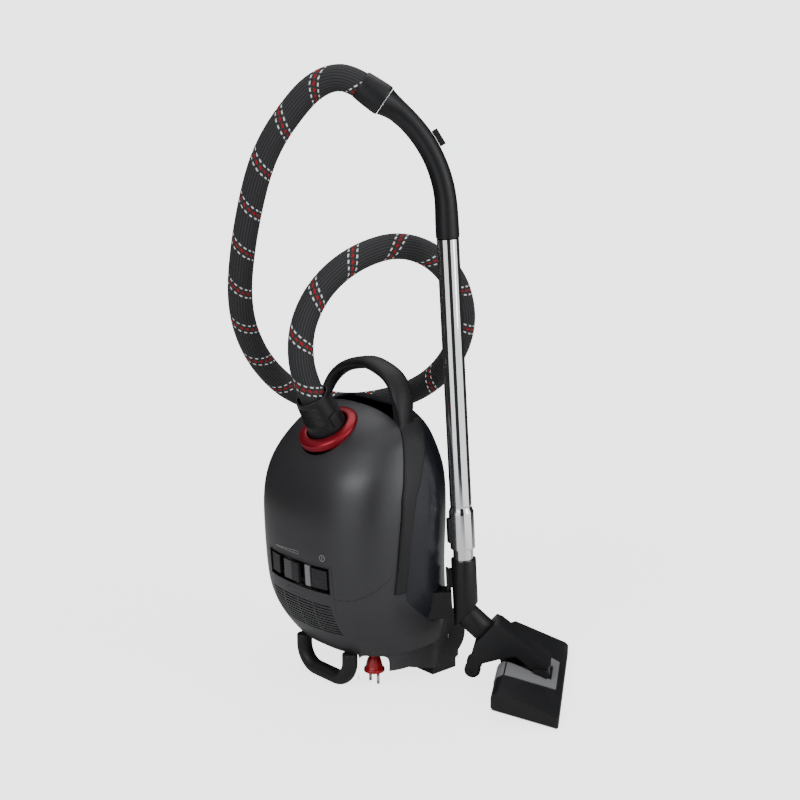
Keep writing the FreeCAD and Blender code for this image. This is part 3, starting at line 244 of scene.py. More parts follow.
sky = bpy.data.worlds.new("pale_studio")
bpy.context.scene.world = sky
sky.use_nodes = True
sky_start = Wire(sky.node_tree)
heading = sky_start.node("ShaderNodeTexCoord", out="Generated")
towards_lens, towards_right = (
    heading.node("ShaderNodeVectorMath", {"operation": "DOT_PRODUCT"}, {0: heading, 1: way}, "Value")
    for way in ((0.743, -0.669, 0.0), (0.669, 0.743, 0.0)))
bearing = heading.math("ARCTAN2", towards_right, towards_lens)
height = heading.axis("Z")
left_panel = (bearing > -0.95) * (bearing < -0.22)
right_panel = (bearing > 0.40) * (bearing < 1.65)
walls = (left_panel + right_panel) * (height > -0.6) * (height < 0.75)
room = walls * 1.3 + (height > 0.6) * 0.5 + 0.03
seen = sky_start.node("ShaderNodeLightPath", out="Is Camera Ray")
glow = seen * 3.2 + (1 - seen) * room
background = sky.node_tree.nodes["Background"]
background.inputs["Color"].default_value = rgb(0.97, 0.98, 1.0)
sky.node_tree.links.new(glow.socket, background.inputs["Strength"])


def lamp(name, place, aim, width, height, power):
    light = bpy.data.lights.new(name, "AREA")
    light.shape, light.size, light.size_y, light.energy = "RECTANGLE", width, height, power
    holder = bpy.data.objects.new(name, light)
    holder.location = place
    holder.rotation_euler = (Vector(aim) - Vector(place)).to_track_quat("-Z", "Y").to_euler()
    bpy.context.scene.collection.objects.link(holder)


lamp("deck_softbox", (0.5, -2.4, 2.2), (0.0, 0.0, 0.35), 1.6, 1.2, 34)
lamp("side_strip", (2.6, 0.9, 1.4), (0.1, 0.1, 0.5), 0.5, 2.2, 16)
lamp("top_softbox", (-0.6, 0.6, 2.8), (0.0, 0.1, 0.4), 2.4, 2.4, 30)

# ---- the hose ------------------------------------------------------------------------------------
# A 40 mm suction hose in a knitted sleeve: lengthwise ribs, and one stitched band that winds round it.
# It leaves the cuff, goes over the nose, behind the casing and up the left side into the grip's collar.
# Three lengths, split behind the casing and beside its left side.
HOSE_RADIUS = 0.0198
RIBS = 28
RIB_DEPTH = 0.00045
ROUTE = np.array([
    (0, -1.8, 436.3), (0, -39.8, 502.1), (-3, -45, 563), (3, -33, 612), (17, -6, 657), (36, 39, 691),
    (58, 100, 708), (77, 157, 689), (83, 207, 641), (68, 241, 572), (26, 257, 504), (-36, 255, 446),
    (-104, 227, 412), (-166, 173, 400), (-207, 101, 426), (-216, 43, 482), (-204, -1, 549), (-180, -28, 615),
    (-149, -42, 688), (-116, -50, 760), (-82, -54, 825), (-54, -48, 872), (-24, -32, 915), (-3, -17, 942),
    (21, -1, 958), (48.0, 15.7, 959.5), (65.6, 35.3, 942.7)]) / 1000


def nurbs_line(name, points, per_span):
    """The smooth line of order 3 that has the points as its control points and starts and ends on them."""
    data = bpy.data.curves.new(name, "CURVE")
    data.dimensions, data.resolution_u = "3D", per_span
    spline = data.splines.new("NURBS")
    spline.points.add(len(points) - 1)
    spline.points.foreach_set("co", np.hstack([points, np.ones((len(points), 1))]).ravel())
    spline.order_u, spline.use_endpoint_u = 3, True
    holder = bpy.data.objects.new(name, data)
    bpy.context.scene.collection.objects.link(holder)
    bpy.context.view_layer.update()
    flat = bpy.data.meshes.new_from_object(holder.evaluated_get(bpy.context.evaluated_depsgraph_get()))
    line = np.zeros(len(flat.vertices) * 3, np.float32)
    flat.vertices.foreach_get("co", line)
    bpy.data.objects.remove(holder)
    bpy.data.meshes.remove(flat)
    return line.reshape(-1, 3).astype(float)


def frames(line, upright):
    """Tangent, side and top of a line at each point: upright is carried along with the least turn."""
    tangents = np.gradient(line, axis=0)
    tangents /= np.linalg.norm(tangents, axis=1, keepdims=True)
    sides, side = [], np.cross(tangents[0], upright)
    for tangent in tangents:
        side = side - tangent * side.dot(tangent)
        side /= np.linalg.norm(side)
        sides.append(side)
    sides = np.array(sides)
    return tangents, sides, np.cross(sides, tangents)


def mileage(line):
    return np.concatenate([[0.0], np.cumsum(np.linalg.norm(np.diff(line, axis=0), axis=1))])


hose_line = nurbs_line("hose_line", ROUTE, 14)
hose_way = mileage(hose_line)
_, hose_side, hose_top = frames(hose_line, (1.0, 0.0, 0.0))
COLUMNS = RIBS * 5
turn = np.arange(COLUMNS + 1) / COLUMNS * 2 * math.pi
ribbed = HOSE_RADIUS + RIB_DEPTH * (np.abs(np.sin(turn * RIBS / 2)) - 0.5)
hose_rings = (hose_line[:, None] + ribbed[None, :, None]
              * (np.cos(turn)[None, :, None] * hose_side[:, None] + np.sin(turn)[None, :, None] * hose_top[:, None]))


def hose_length(name, first, last):
    """One length of the hose: rib-edged circles at right angles to its line, with a map of turns and metres."""
    rings = hose_rings[first:last + 1]
    rows, columns = rings.shape[:2]
    obj = from_grid(name, rings, around=False)
    weave = obj.data.uv_layers.new(name="weave")
    corners = np.zeros(len(obj.data.loops), np.int32)
    obj.data.loops.foreach_get("vertex_index", corners)
    map_turns = (corners % columns) / (columns - 1)
    map_metres = hose_way[first + corners // columns]
    weave.data.foreach_set("uv", np.stack([map_turns, map_metres], -1).astype(np.float32).ravel())
    return obj


BAND_PITCH = 0.074
STITCHES = 14
knit, knit_shader, knit_start = finish("knitted_sleeve", {
    "Sheen Weight": 0.06, "Sheen Roughness": 0.4, "Specular IOR Level": 0.15})
weave_map = knit_start.node("ShaderNodeUVMap", {"uv_map": "weave"})
turns, metres = weave_map.axis("X"), weave_map.axis("Y")
rib_crest = abs((turns * RIBS).fraction() - 0.5) * 2.0
crest = 1.0 - rib_crest
stitch_rows = (metres * 430.0).fraction()
from_band = ((metres / BAND_PITCH - turns).fraction() - 0.5) * BAND_PITCH
white_row = (abs(abs(from_band) - 0.0075) < 0.0014)
red_row = (abs(from_band) < 0.0021)
white_dash = white_row * ((turns * STITCHES).fraction() < 0.52)
red_dash = red_row * ((turns * STITCHES + 0.5).fraction() < 0.58)
stretched = weave_map.node("ShaderNodeVectorMath", {"operation": "MULTIPLY"}, {0: weave_map, 1: (400.0, 1500.0, 0.0)})
yarn = stretched.node("ShaderNodeTexNoise", None, {"Vector": stretched, "Scale": 1.0, "Detail": 2.0})
# The yarn colour is darkest in the grooves between the lengthwise ribs and lightest on their crests: painted shade in
# the grooves, with random yarn tone from the noise mixed in.
yarn_grey_with_painted_groove_shade = (crest * 0.55 + yarn * 0.55).mix(rgb(0.006, 0.006, 0.007), rgb(0.060, 0.060, 0.062))
with_white = white_dash.mix(yarn_grey_with_painted_groove_shade, rgb(0.78, 0.78, 0.78))
with_red = red_dash.mix(with_white, rgb(0.36, 0.012, 0.018))
knit_height = crest * 0.4 + abs(stitch_rows - 0.5) * 0.35 + (white_dash + red_dash) * 0.5 + yarn * 0.2
knit_relief = knit_height.node("ShaderNodeBump", None, {"Height": knit_height, "Distance": 0.0004, "Strength": 0.9})
plug_in(knit, knit_shader, base_color=with_red, roughness=0.9 - crest * 0.15, normal=knit_relief)

behind = int(np.argmin(np.linalg.norm(hose_line - np.array((0.026, 0.250, 0.504)), axis=1)))
beside = int(np.argmin(np.linalg.norm(hose_line - np.array((-0.188, -0.033, 0.612)), axis=1)))
spans = [("hose_over_nose", 0, behind, ("lid", "canister"), (0.0, -0.03, 0.60), (0.07, 0.22, 0.62)),
         ("hose_behind", behind, beside, ("canister", "wand_lower"), (-0.20, 0.12, 0.42), (-0.19, -0.04, 0.59)),
         ("hose_to_grip", beside, len(hose_line) - 1, ("wand_lower", "wand_upper"), (-0.19, -0.035, 0.62),
          (0.0, -0.02, 0.93))]
for name, first, last, bodies, start, end in spans:
    length = hose_length(name, first, last)
    wear(length, knit)
    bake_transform(length)
    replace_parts(length, "hose")

# ---- casing ----------------------------------------------------------------------------------------
# The deck lid, the tail housing, the lower pan and the control strip are cut from one moulded shell.
# Satin grey on the deck, blue-black on the pan; their skin is shaded from the shell's own curve.
BODY_TOP, HALF_WIDTH, DECK_DEPTH, BACK_DEPTH = 0.456, 0.154, 0.119, 0.128
MID_PLANE = 0.055
SQUARENESS = 2.5
STATIONS = np.array([
    (0.136, 0.78, 0.53, 1.12), (0.176, 0.83, 0.66, 1.13), (0.220, 0.875, 0.78, 1.12), (0.310, 0.94, 0.93, 1.06),
    (0.420, 0.970, 0.985, 1.01), (0.560, 0.995, 1.000, 1.00), (0.680, 0.995, 0.980, 1.00), (0.783, 0.950, 0.850, 0.97),
    (0.868, 0.845, 0.605, 0.88), (0.912, 0.765, 0.420, 0.81), (0.952, 0.640, 0.195, 0.71), (0.981, 0.480, -0.020, 0.60),
    (0.995, 0.320, -0.140, 0.48)])


def casing_at(z):
    """Half width, deck y and underside y of the shell at heights z: a smooth line through the stations."""
    share = np.clip(z / BODY_TOP, STATIONS[0, 0], STATIONS[-1, 0])
    k = np.clip(np.searchsorted(STATIONS[:, 0], share, "right") - 1, 0, len(STATIONS) - 2)
    order = np.arange(len(STATIONS))
    low, high = np.maximum(order - 1, 0), np.minimum(order + 1, len(STATIONS) - 1)
    slopes = (STATIONS[high, 1:] - STATIONS[low, 1:]) / (STATIONS[high, 0] - STATIONS[low, 0])[:, None]
    span = (STATIONS[k + 1, 0] - STATIONS[k, 0])[:, None]
    t = (share - STATIONS[k, 0])[:, None] / span
    value = ((2 * t ** 3 - 3 * t ** 2 + 1) * STATIONS[k, 1:] + (t ** 3 - 2 * t ** 2 + t) * span * slopes[k]
             + (3 * t ** 2 - 2 * t ** 3) * STATIONS[k + 1, 1:] + (t ** 3 - t ** 2) * span * slopes[k + 1])
    return value[:, 0] * HALF_WIDTH, -value[:, 1] * DECK_DEPTH, value[:, 2] * BACK_DEPTH


def level(points):
    """How far out a point lies: 1 on the shell's rounded-box section, less inside it."""
    half, deck, back = casing_at(points[:, 2])
    y = points[:, 1] - MID_PLANE
    middle, deep = (back + deck) / 2, (back - deck) / 2
    return np.abs(points[:, 0] / half) ** SQUARENESS + np.abs((y - middle) / deep) ** SQUARENESS


def casing_normals(points):
    """The direction in which the level rises fastest, from its change over half a millimetre each way."""
    steps = np.eye(3) * 0.0005
    slope = np.stack([level(points + step) - level(points - step) for step in steps], -1)
    return slope / np.maximum(np.linalg.norm(slope, axis=1, keepdims=True), 1e-9)


BODY_OF = {node: body for body, nodes in frame["record"]["behaviour"]["bodies"].items() for node in nodes}
SLOT_OF = {part["node"]: part["material_slot"] for part in frame["record"]["subparts"]}


def merged_copy(node, name):
    """The CAD node's mesh as a piece of its own, its corners joined, that stands for it and rides with its body."""
    obj = bpy.data.objects.new(name, frame["nodes"][node].data.copy())
    bpy.context.scene.collection.objects.link(obj)
    work = bmesh.new()
    work.from_mesh(obj.data)
    bmesh.ops.remove_doubles(work, verts=work.verts, dist=1e-6)
    bmesh.ops.dissolve_degenerate(work, edges=work.edges, dist=1e-6)
    work.to_mesh(obj.data)
    work.free()
    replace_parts(obj, node)
    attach(obj, BODY_OF[node])
    return obj


def cut_out(obj, cutter):
    """Take the cutter's closed shape out of a piece, and drop the cutter."""
    cut = obj.modifiers.new("opening", "BOOLEAN")
    cut.object, cut.solver = cutter, "EXACT"
    bpy.context.view_layer.update()
    obj.data = bpy.data.meshes.new_from_object(obj.evaluated_get(bpy.context.evaluated_depsgraph_get()))
    obj.modifiers.clear()
    bpy.data.objects.remove(cutter)


def shell_piece(node, name, opening=None):
    """A moulded cover whose faces that follow the shell take the shell's own normals, so its skin is even.
    An opening is a closed piece that is cut out of it first."""
    obj = merged_copy(node, name)
    if opening:
        cut_out(obj, opening)
    mesh = obj.data
    mesh.shade_smooth()
    mesh.set_sharp_from_angle(angle=math.radians(25))
    corners = np.zeros(len(mesh.loops), np.int32)
    mesh.loops.foreach_get("vertex_index", corners)
    places = np.zeros(len(mesh.vertices) * 3)
    mesh.vertices.foreach_get("co", places)
    places = places.reshape(-1, 3)
    normals = np.zeros(len(mesh.polygons) * 3)
    mesh.polygons.foreach_get("normal", normals)
    totals = np.zeros(len(mesh.polygons), np.int32)
    mesh.polygons.foreach_get("loop_total", totals)
    face_normals = np.repeat(normals.reshape(-1, 3), totals, axis=0)
    smooth = casing_normals(places)[corners]
    agree = np.einsum("ij,ij->i", smooth, face_normals)
    own = np.array([tuple(n.vector) for n in mesh.corner_normals])
    chosen = np.where((agree > 0.9)[:, None], smooth, np.where((agree < -0.9)[:, None], -smooth, own))
    mesh.normals_split_custom_set(chosen.tolist())
    return obj


deck_grey = moulding("deck_satin_grey", rgb(0.050, 0.050, 0.053), 0.40, metallic=0.5, cloudy=0.04)
pan_black = moulding("pan_blue_black", rgb(0.012, 0.013, 0.018), 0.34, cloudy=0.12, coat=0.15)
wear(shell_piece("deck_lid", "deck_lid_skin"), deck_grey)
PLUG_AXIS = np.array((0.068, 0.043, 0.0))
OUTWARD, ACROSS = np.array((0.743, -0.669, 0.0)), np.array((0.669, 0.743, 0.0))
arc = np.linspace(0, 2 * math.pi, 48, endpoint=False)
mouth = (np.sign(np.cos(arc)) * np.abs(np.cos(arc)) ** 0.45, np.sign(np.sin(arc)) * np.abs(np.sin(arc)) ** 0.45)
recess = (PLUG_AXIS + np.array((0, 0, 0.0335)) + np.array((-0.020, 0.120))[:, None, None] * OUTWARD
          + (mouth[0][:, None] * 0.0245 * ACROSS + mouth[1][:, None] * np.array((0, 0, 0.0265)))[None])
plug_recess = from_grid("plug_recess", recess, caps=True)
wear(shell_piece("tail_housing", "tail_housing_skin", plug_recess), deck_grey)
wear(shell_piece("lower_pan", "lower_pan_skin"), pan_black)
wear(shell_piece("control_strip", "control_strip_skin"), deck_grey)

# ---- carrying arch and tail handle -------------------------------------------------------------------
# The arch is one soft-touch moulding that runs down both sides as a rail; the tail handle is a rounded bar.
# Both are cut again at a fine even pitch and eased, so that their joins flow like a moulding's.
def eased_copy(node, name, pitch, passes):
    """The CAD node cut again into even cells of the given pitch, then relaxed so that its edges are rounded."""
    obj = merged_copy(node, name)
    recut = obj.modifiers.new("recut", "REMESH")
    recut.mode, recut.voxel_size, recut.use_smooth_shade = "VOXEL", pitch, True
    relax = obj.modifiers.new("relax", "SMOOTH")
    relax.factor, relax.iterations = 0.5, passes
    return obj


soft_touch = moulding("soft_touch_black", rgb(0.012, 0.012, 0.013), 0.50, grain=0.0005, depth=0.00003)
wear(eased_copy("arch_handle", "arch_moulding", 0.0016, 8), soft_touch)
wear(eased_copy("tail_handle", "tail_handle_bar", 0.0014, 10), soft_touch)

# ---- control strip: slider, keys, window and printed marks -------------------------------------------
# A power slider with a dotted thumb rest, two dotted keys and a pale window sit in a sunk tray.
# The marks above it are a thin pad print: a rising scale and a plain on/off sign.
def on_deck(x, z, lift):
    """Points of the shell's deck side at the given x and z, lifted off it: its rounded-box section solved for y."""
    half, deck, back = casing_at(np.ravel(z))
    share = np.clip(np.abs(np.ravel(x)) / half, 0, 0.999)
    middle, deep = (back + deck) / 2, (back - deck) / 2
    y = middle - deep * (1 - share ** SQUARENESS) ** (1 / SQUARENESS) + MID_PLANE
    points = np.stack([np.ravel(x), y, np.ravel(z)], -1)
    return (points + casing_normals(points) * lift).reshape(*np.shape(x), 3)


def closed_plate(name, top, bottom):
    """A thin plate between two grids of points, joined round the edge."""
    rows, columns = top.shape[:2]
    index = np.arange(rows * columns).reshape(rows, columns)
    cells = np.stack([index[:-1, :-1], index[:-1, 1:], index[1:, 1:], index[1:, :-1]], -1).reshape(-1, 4)
    rim = np.concatenate([index[0, :-1], index[:-1, -1], index[-1, :0:-1], index[:0:-1, 0]])
    ahead = np.roll(rim, -1)
    under = rows * columns
    walls = np.stack([rim, rim + under, ahead + under, ahead], -1)
    mesh = bpy.data.meshes.new(name)
    mesh.from_pydata(np.vstack([top.reshape(-1, 3), bottom.reshape(-1, 3)]).tolist(), [],
                     cells.tolist() + (cells[:, ::-1] + under).tolist() + walls.tolist())
    work = bmesh.new()
    work.from_mesh(mesh)
    bmesh.ops.remove_doubles(work, verts=work.verts, dist=1e-7)
    bmesh.ops.recalc_face_normals(work, faces=work.faces)
    work.to_mesh(mesh)
    work.free()
    mesh.shade_smooth()
    mesh.set_sharp_from_angle(angle=math.radians(40))
    obj = bpy.data.objects.new(name, mesh)
    bpy.context.scene.collection.objects.link(obj)
    return obj


def deck_patch(name, x, z, low, high):
    """A thin plate that follows the shell: one outline grid at two lifts off it."""
    return closed_plate(name, on_deck(x, z, high), on_deck(x, z, low))


def grid_between(x0, x1, z0, z1, columns=12, rows=8):
    return np.meshgrid(np.linspace(x0, x1, columns), np.linspace(z0, z1, rows))


def dotted(name, colour, roughness, pitch, height):
    """Black plastic with rows of small raised dots, every second row set over by half a pitch; the dot tops carry a
    painted highlight.
    """
    material, shader, start = finish(name, {"Specular IOR Level": 0.35})
    place = start.node("ShaderNodeTexCoord", out="Object")
    across, up = place.axis("X") / pitch, place.axis("Z") / pitch
    row = up.math("FLOOR", up)
    across = across + (row * 0.5).fraction()
    x_off, z_off = across.fraction() - 0.5, up.fraction() - 0.5
    from_dot = (x_off * x_off + z_off * z_off).math("SQRT", x_off * x_off + z_off * z_off)
    dot = from_dot.node("ShaderNodeMapRange", {"interpolation_type": "SMOOTHSTEP"},
                        {"Value": from_dot, "From Min": 0.40, "From Max": 0.18, "To Min": 0.0, "To Max": 1.0})
    # The raised dots are painted five times lighter than the key around them: a painted highlight on their tops.
    tint = dot.mix(colour, shaded(colour, 5.0))
    relief = dot.node("ShaderNodeBump", None, {"Height": dot, "Distance": height, "Strength": 1.0})
    return plug_in(material, shader, base_color=tint, roughness=roughness - dot * 0.12, normal=relief)


key_black = dotted("dotted_key_black", rgb(0.008, 0.008, 0.009), 0.5, 0.0026, 0.0004)
slider_gloss = moulding("slider_gloss_grey", rgb(0.030, 0.030, 0.032), 0.22, coat=0.3)
for node in ("power_button", "rewind_button"):
    wear(shell_piece(node, node + "_key"), key_black)
wear(shell_piece("power_slider", "power_slider_cap"), slider_gloss)
wear(shell_piece("filter_latch", "filter_latch_tab"), deck_grey)
thumb = deck_patch("slider_thumb_rest", *grid_between(-0.008, 0.0095, 0.183, 0.212), 0.0003, 0.0011)
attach(wear(thumb, key_black), "power_slider")

window_grey = moulding("window_pale_grey", rgb(0.20, 0.20, 0.205), 0.30, coat=0.3)
window = deck_patch("filter_window", *grid_between(0.023, 0.034, 0.181, 0.215), -0.0046, -0.0014)
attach(wear(window, window_grey), "canister")

tray_black = moulding("tray_black", rgb(0.006, 0.006, 0.007), 0.45)
edge_low, edge_high, inset, thick = 0.1765, 0.2188, 0.0735, 0.0009
across, up = grid_between(-inset, inset, edge_high, edge_high + thick, 40, 2)
bars = [(across, up), grid_between(-inset, inset, edge_low - thick, edge_low, 40, 2),
        grid_between(-inset - thick, -inset, edge_low - thick, edge_high + thick, 2, 12),
        grid_between(inset, inset + thick, edge_low - thick, edge_high + thick, 2, 12)]
for number, (across, up) in enumerate(bars):
    bar = deck_patch("tray_edge_%d" % number, across, up, -0.0008, 0.00012)
    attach(wear(bar, tray_black), "canister")
tray_floor = deck_patch("tray_floor", *grid_between(-0.0735, 0.0735, 0.1765, 0.2188, 40, 12), -0.0104, -0.0090)
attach(wear(tray_floor, tray_black), "canister")

pale_print, print_shader, print_start = finish("pale_print", {"Roughness": 0.5, "Specular IOR Level": 0.3})
print_place = print_start.node("ShaderNodeTexCoord", out="Object")
print_grain = print_place.node("ShaderNodeTexNoise", None, {"Vector": print_place, "Scale": 900.0, "Detail": 1.0})
plug_in(pale_print, print_shader, base_color=print_grain.mix(rgb(0.20, 0.20, 0.20), rgb(0.34, 0.34, 0.34)))
turn_round = np.linspace(0, 2 * math.pi, 49)
SIGN_X, SIGN_Z, SIGN_R = 0.0625, 0.2345, 0.0052
ring_x = SIGN_X + np.outer((SIGN_R, SIGN_R - 0.0009), np.cos(turn_round))
ring_z = SIGN_Z + np.outer((SIGN_R, SIGN_R - 0.0009), np.sin(turn_round))
marks = [("sign_ring", ring_x, ring_z),
         ("sign_bar", *grid_between(SIGN_X - 0.0005, SIGN_X + 0.0005, SIGN_Z - 0.0026, SIGN_Z + 0.0026, 2, 4))]
scale_x = np.linspace(-0.052, 0.010, 30)
rise = np.linspace(0.0004, 0.0050, 30)
marks += [("scale_low", np.stack([scale_x, scale_x]), np.stack([scale_x * 0 + 0.2290, scale_x * 0 + 0.2296])),
          ("scale_high", np.stack([scale_x, scale_x]), np.stack([0.2290 + rise, 0.2296 + rise]))]
marks += [("scale_tick_%d" % k, *grid_between(x - 0.0003, x + 0.0003, 0.2293, 0.2293 + share * 0.0050, 2, 3))
          for k, (x, share) in enumerate(zip(np.linspace(-0.040, 0.010, 6), np.linspace(0.25, 1.0, 6)))]
for name, x, z in marks:
    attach(wear(deck_patch(name, x, z, -0.0002, 0.00012), pale_print), "lid")

# ---- hose inlet: ring and cuff -----------------------------------------------------------------------
# A dished red ring rings the socket; the black cuff on the hose has fine finger ribs and an open rim.
# Both are turned about the inlet's axis, the ribs fading out beside the two latches.
RING_TILT = math.radians(30.0)
RING_AXIS = np.array((0.0, -math.sin(RING_TILT), math.cos(RING_TILT)))
RING_MID = np.array((0.0, 0.0082, 0.4190))


def eased_profile(points, rounds=3, closed=True):
    """A profile whose corners are cut again and again, each side at its quarter points, until it is smooth."""
    line = np.array(points, float)
    for _ in range(rounds):
        ahead = np.roll(line, -1, axis=0)
        cut = np.stack([line * 0.75 + ahead * 0.25, line * 0.25 + ahead * 0.75], 1).reshape(-1, 2)
        line = cut if closed else np.vstack([line[:1], cut[1:-2], line[-1:]])
    return line


def turned(name, profile, base, axis, side, sides=96, bulge=None):
    """A closed profile of (radius, distance) pairs turned about an axis; bulge(angle, distance) adds radius."""
    axis, side = np.array(axis) / np.linalg.norm(axis), np.array(side, float)
    side = side - axis * side.dot(axis)
    side /= np.linalg.norm(side)
    front = np.cross(axis, side)
    angle = np.linspace(0, 2 * math.pi, sides, endpoint=False)
    radius, distance = profile[:, :1], profile[:, 1:]
    radius = radius + (bulge(angle[None], distance) if bulge else 0.0) * (angle[None] * 0 + 1)
    points = (np.array(base) + distance[..., None] * axis
              + radius[..., None] * (np.cos(angle)[None, :, None] * side + np.sin(angle)[None, :, None] * front))
    obj = from_grid(name, points, around=True, along=True)
    work = bmesh.new()
    work.from_mesh(obj.data)
    bmesh.ops.recalc_face_normals(work, faces=work.faces)
    work.to_mesh(obj.data)
    work.free()
    return obj


ring_red = moulding("ring_satin_red", rgb(0.26, 0.006, 0.016), 0.34, metallic=0.55, cloudy=0.05)
ring_profile = eased_profile(np.array([
    (50.0, -9), (50.0, -2), (50.0, 1.5), (48.6, 4.2), (43, 6.4), (37.5, 7.2), (34.6, 6.6), (34.0, 4.0), (34.0, -2),
    (34.0, -9)]) / 1000)
ring = turned("inlet_ring_dished", ring_profile, RING_MID, RING_AXIS, (1, 0, 0), 144)
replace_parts(ring, "inlet_ring")
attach(wear(ring, ring_red), "lid")

RIB_LOW, RIB_HIGH, RIB_PITCH = 0.022, 0.060, 0.0026


def finger_ribs(angle, distance):
    """Rings of fine ribs between two heights, faded out beside the latches at both sides."""
    within = np.clip((distance - RIB_LOW) / 0.003, 0, 1) * np.clip((RIB_HIGH - distance) / 0.003, 0, 1)
    beside = np.clip((1 - np.abs(np.cos(angle))) / 0.12, 0, 1)
    return 0.00045 * within * beside * np.sin(distance / RIB_PITCH * 2 * math.pi)


cuff_wall = np.linspace(0.003, 0.064, 170)
cuff_profile = np.vstack([np.array([(0.0205, 0.030), (0.0205, -0.001), (0.0250, -0.001)]),
                          np.stack([0.0325 - 0.0055 * (cuff_wall / 0.066) ** 0.8, cuff_wall], -1),
                          np.array([(0.0268, 0.0660), (0.0256, 0.0668), (0.0243, 0.0664), (0.0238, 0.0650),
                                    (0.0236, 0.056), (0.0207, 0.050), (0.0205, 0.045)])])
cuff_black = moulding("cuff_matte_black", rgb(0.008, 0.008, 0.009), 0.46)
cuff = turned("hose_cuff_ribbed", cuff_profile, RING_MID + RING_AXIS * 0.0006, RING_AXIS, (1, 0, 0), 120, finger_ribs)
neck_profile = eased_profile(np.array([(27.9, -40), (27.9, 1), (25, 1), (25, -40)]) / 1000, 1)
cuff_neck = turned("hose_cuff_neck", neck_profile, RING_MID, RING_AXIS, (1, 0, 0), 96)
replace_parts(cuff, "hose_cuff")
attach(wear(cuff, cuff_black), "cuff")
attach(wear(cuff_neck, cuff_black), "cuff")

# ---- wand: tubes, grip and collar ----------------------------------------------------------------------
# Two chromed steel tubes slide in each other; the lower end of the outer one is flared over the lock.
# The black grip is a bent tube that swells into the swivelling collar of the hose.
PARK_TURN, PARK_LEAN = math.radians(48.0), math.radians(3.2)
PARK_FOOT = np.array((0.1735, 0.1001 + MID_PLANE, 0.0))
lean_turn = np.array([[math.cos(PARK_LEAN), 0, -math.sin(PARK_LEAN)], [0, 1, 0],
                      [math.sin(PARK_LEAN), 0, math.cos(PARK_LEAN)]])
plan_turn = np.array([[math.cos(PARK_TURN), -math.sin(PARK_TURN), 0], [math.sin(PARK_TURN), math.cos(PARK_TURN), 0],
                      [0, 0, 1]])
WAND = plan_turn @ lean_turn


def parked(points):
    """From the wand's own upright frame to where it stands parked."""
    return np.array(points, float) @ WAND.T + PARK_FOOT


chrome = moulding("chrome_tube", rgb(0.90, 0.90, 0.91), 0.045, metallic=1.0, cloudy=0.02, grain=0.004, depth=0.000004)
outer_profile = np.array([
    (16.25, 232), (19.0, 232), (19.6, 232.5), (19.75, 233.5), (19.75, 236), (19.75, 290), (19.70, 292), (19.2, 294),
    (18.0, 297), (17.0, 299), (16.6, 300.5), (16.6, 301.5), (16.9, 303), (17.0, 305), (17.0, 340), (17.0, 721), (16.9, 722),
    (16.25, 722)]) / 1000
tube = turned("outer_tube_chromed", outer_profile, parked((0, 0, 0)), WAND[:, 2], WAND[:, 0], 128)
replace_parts(tube, "outer_tube")
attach(wear(tube, chrome), "wand_upper")
inner = wear(merged_copy("inner_tube", "inner_tube_chromed"), chrome)
inner.data.set_sharp_from_angle(angle=math.radians(35))

grip_black = moulding("grip_satin_black", rgb(0.010, 0.010, 0.011), 0.40, grain=0.0006)
BEND, GRIP_LOW, BEND_LOW, GRIP_TURN = 0.200, 0.7235, 0.768, math.radians(52.0)
straight = np.stack([np.zeros(12), np.zeros(12), np.linspace(GRIP_LOW, BEND_LOW, 12)], -1)
sweep = np.linspace(0, GRIP_TURN, 40)[1:]
bend = np.stack([-BEND * (1 - np.cos(sweep)), sweep * 0, BEND_LOW + BEND * np.sin(sweep)], -1)
grip_way = np.array((-math.sin(GRIP_TURN), 0.0, math.cos(GRIP_TURN)))
grip_line = np.vstack([straight, bend, bend[-1] + grip_way * np.linspace(0.002, 0.0078, 4)[:, None]])
grip_miles = mileage(grip_line)
grip_radius = np.interp(grip_miles, [0, 0.004, 0.03, 0.06, 0.12, 0.19, 0.212, 0.224, 0.2325, grip_miles[-1]],
                        np.array([18.4, 18.9, 18.6, 17.6, 16.9, 17.0, 18.0, 20.0, 22.4, 23.2]) / 1000)
_, grip_side, grip_front = frames(grip_line, (1.0, 0.0, 0.0))
angle = np.linspace(0, 2 * math.pi, 72, endpoint=False)
grip_shell = (grip_line[:, None] + grip_radius[:, None, None] * (np.cos(angle)[None, :, None] * grip_side[:, None]
              + 0.96 * np.sin(angle)[None, :, None] * grip_front[:, None]))
grip_bore = (grip_line[:, None] + 0.0166 * (np.cos(angle)[None, :, None] * grip_side[:, None]
             + 0.96 * np.sin(angle)[None, :, None] * grip_front[:, None]))
grip = from_grid("hand_grip_bent", parked(np.concatenate([grip_shell, grip_bore[::-1]]).reshape(-1, 3)).reshape(
    -1, len(angle), 3), around=True, along=True)
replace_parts(grip, "hand_grip")
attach(wear(grip, grip_black), "wand_upper")

collar_base = bend[-1] + grip_way * 0.008
collar_profile = eased_profile(np.array([
    (17.5, 1), (22.4, 0.2), (23.9, 2), (24.0, 8), (23.6, 20), (22.6, 34), (21.8, 42), (21.2, 43.6), (20.3, 43.4),
    (20.1, 42), (20.1, 24), (17.5, 24)]) / 1000, 2)
collar = turned("grip_collar_tapered", collar_profile, parked(collar_base), WAND @ grip_way, WAND[:, 1], 96)
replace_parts(collar, "grip_collar")
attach(wear(collar, grip_black), BODY_OF["grip_collar"])

# ---- floor nozzle, elbow and sleeve --------------------------------------------------------------------
# Moulded black plastic pieces with softened edges, and a grey cover over the nozzle's middle.
def softened_copy(node, name, width):
    """The CAD node's shape with its sharp edges rounded by a small even radius."""
    obj = merged_copy(node, name)
    obj.data.shade_smooth()
    round_edges = obj.modifiers.new("round_edges", "BEVEL")
    round_edges.width, round_edges.segments, round_edges.limit_method = width, 3, "ANGLE"
    round_edges.angle_limit, round_edges.harden_normals = math.radians(32), True
    round_edges.use_clamp_overlap = True
    return obj


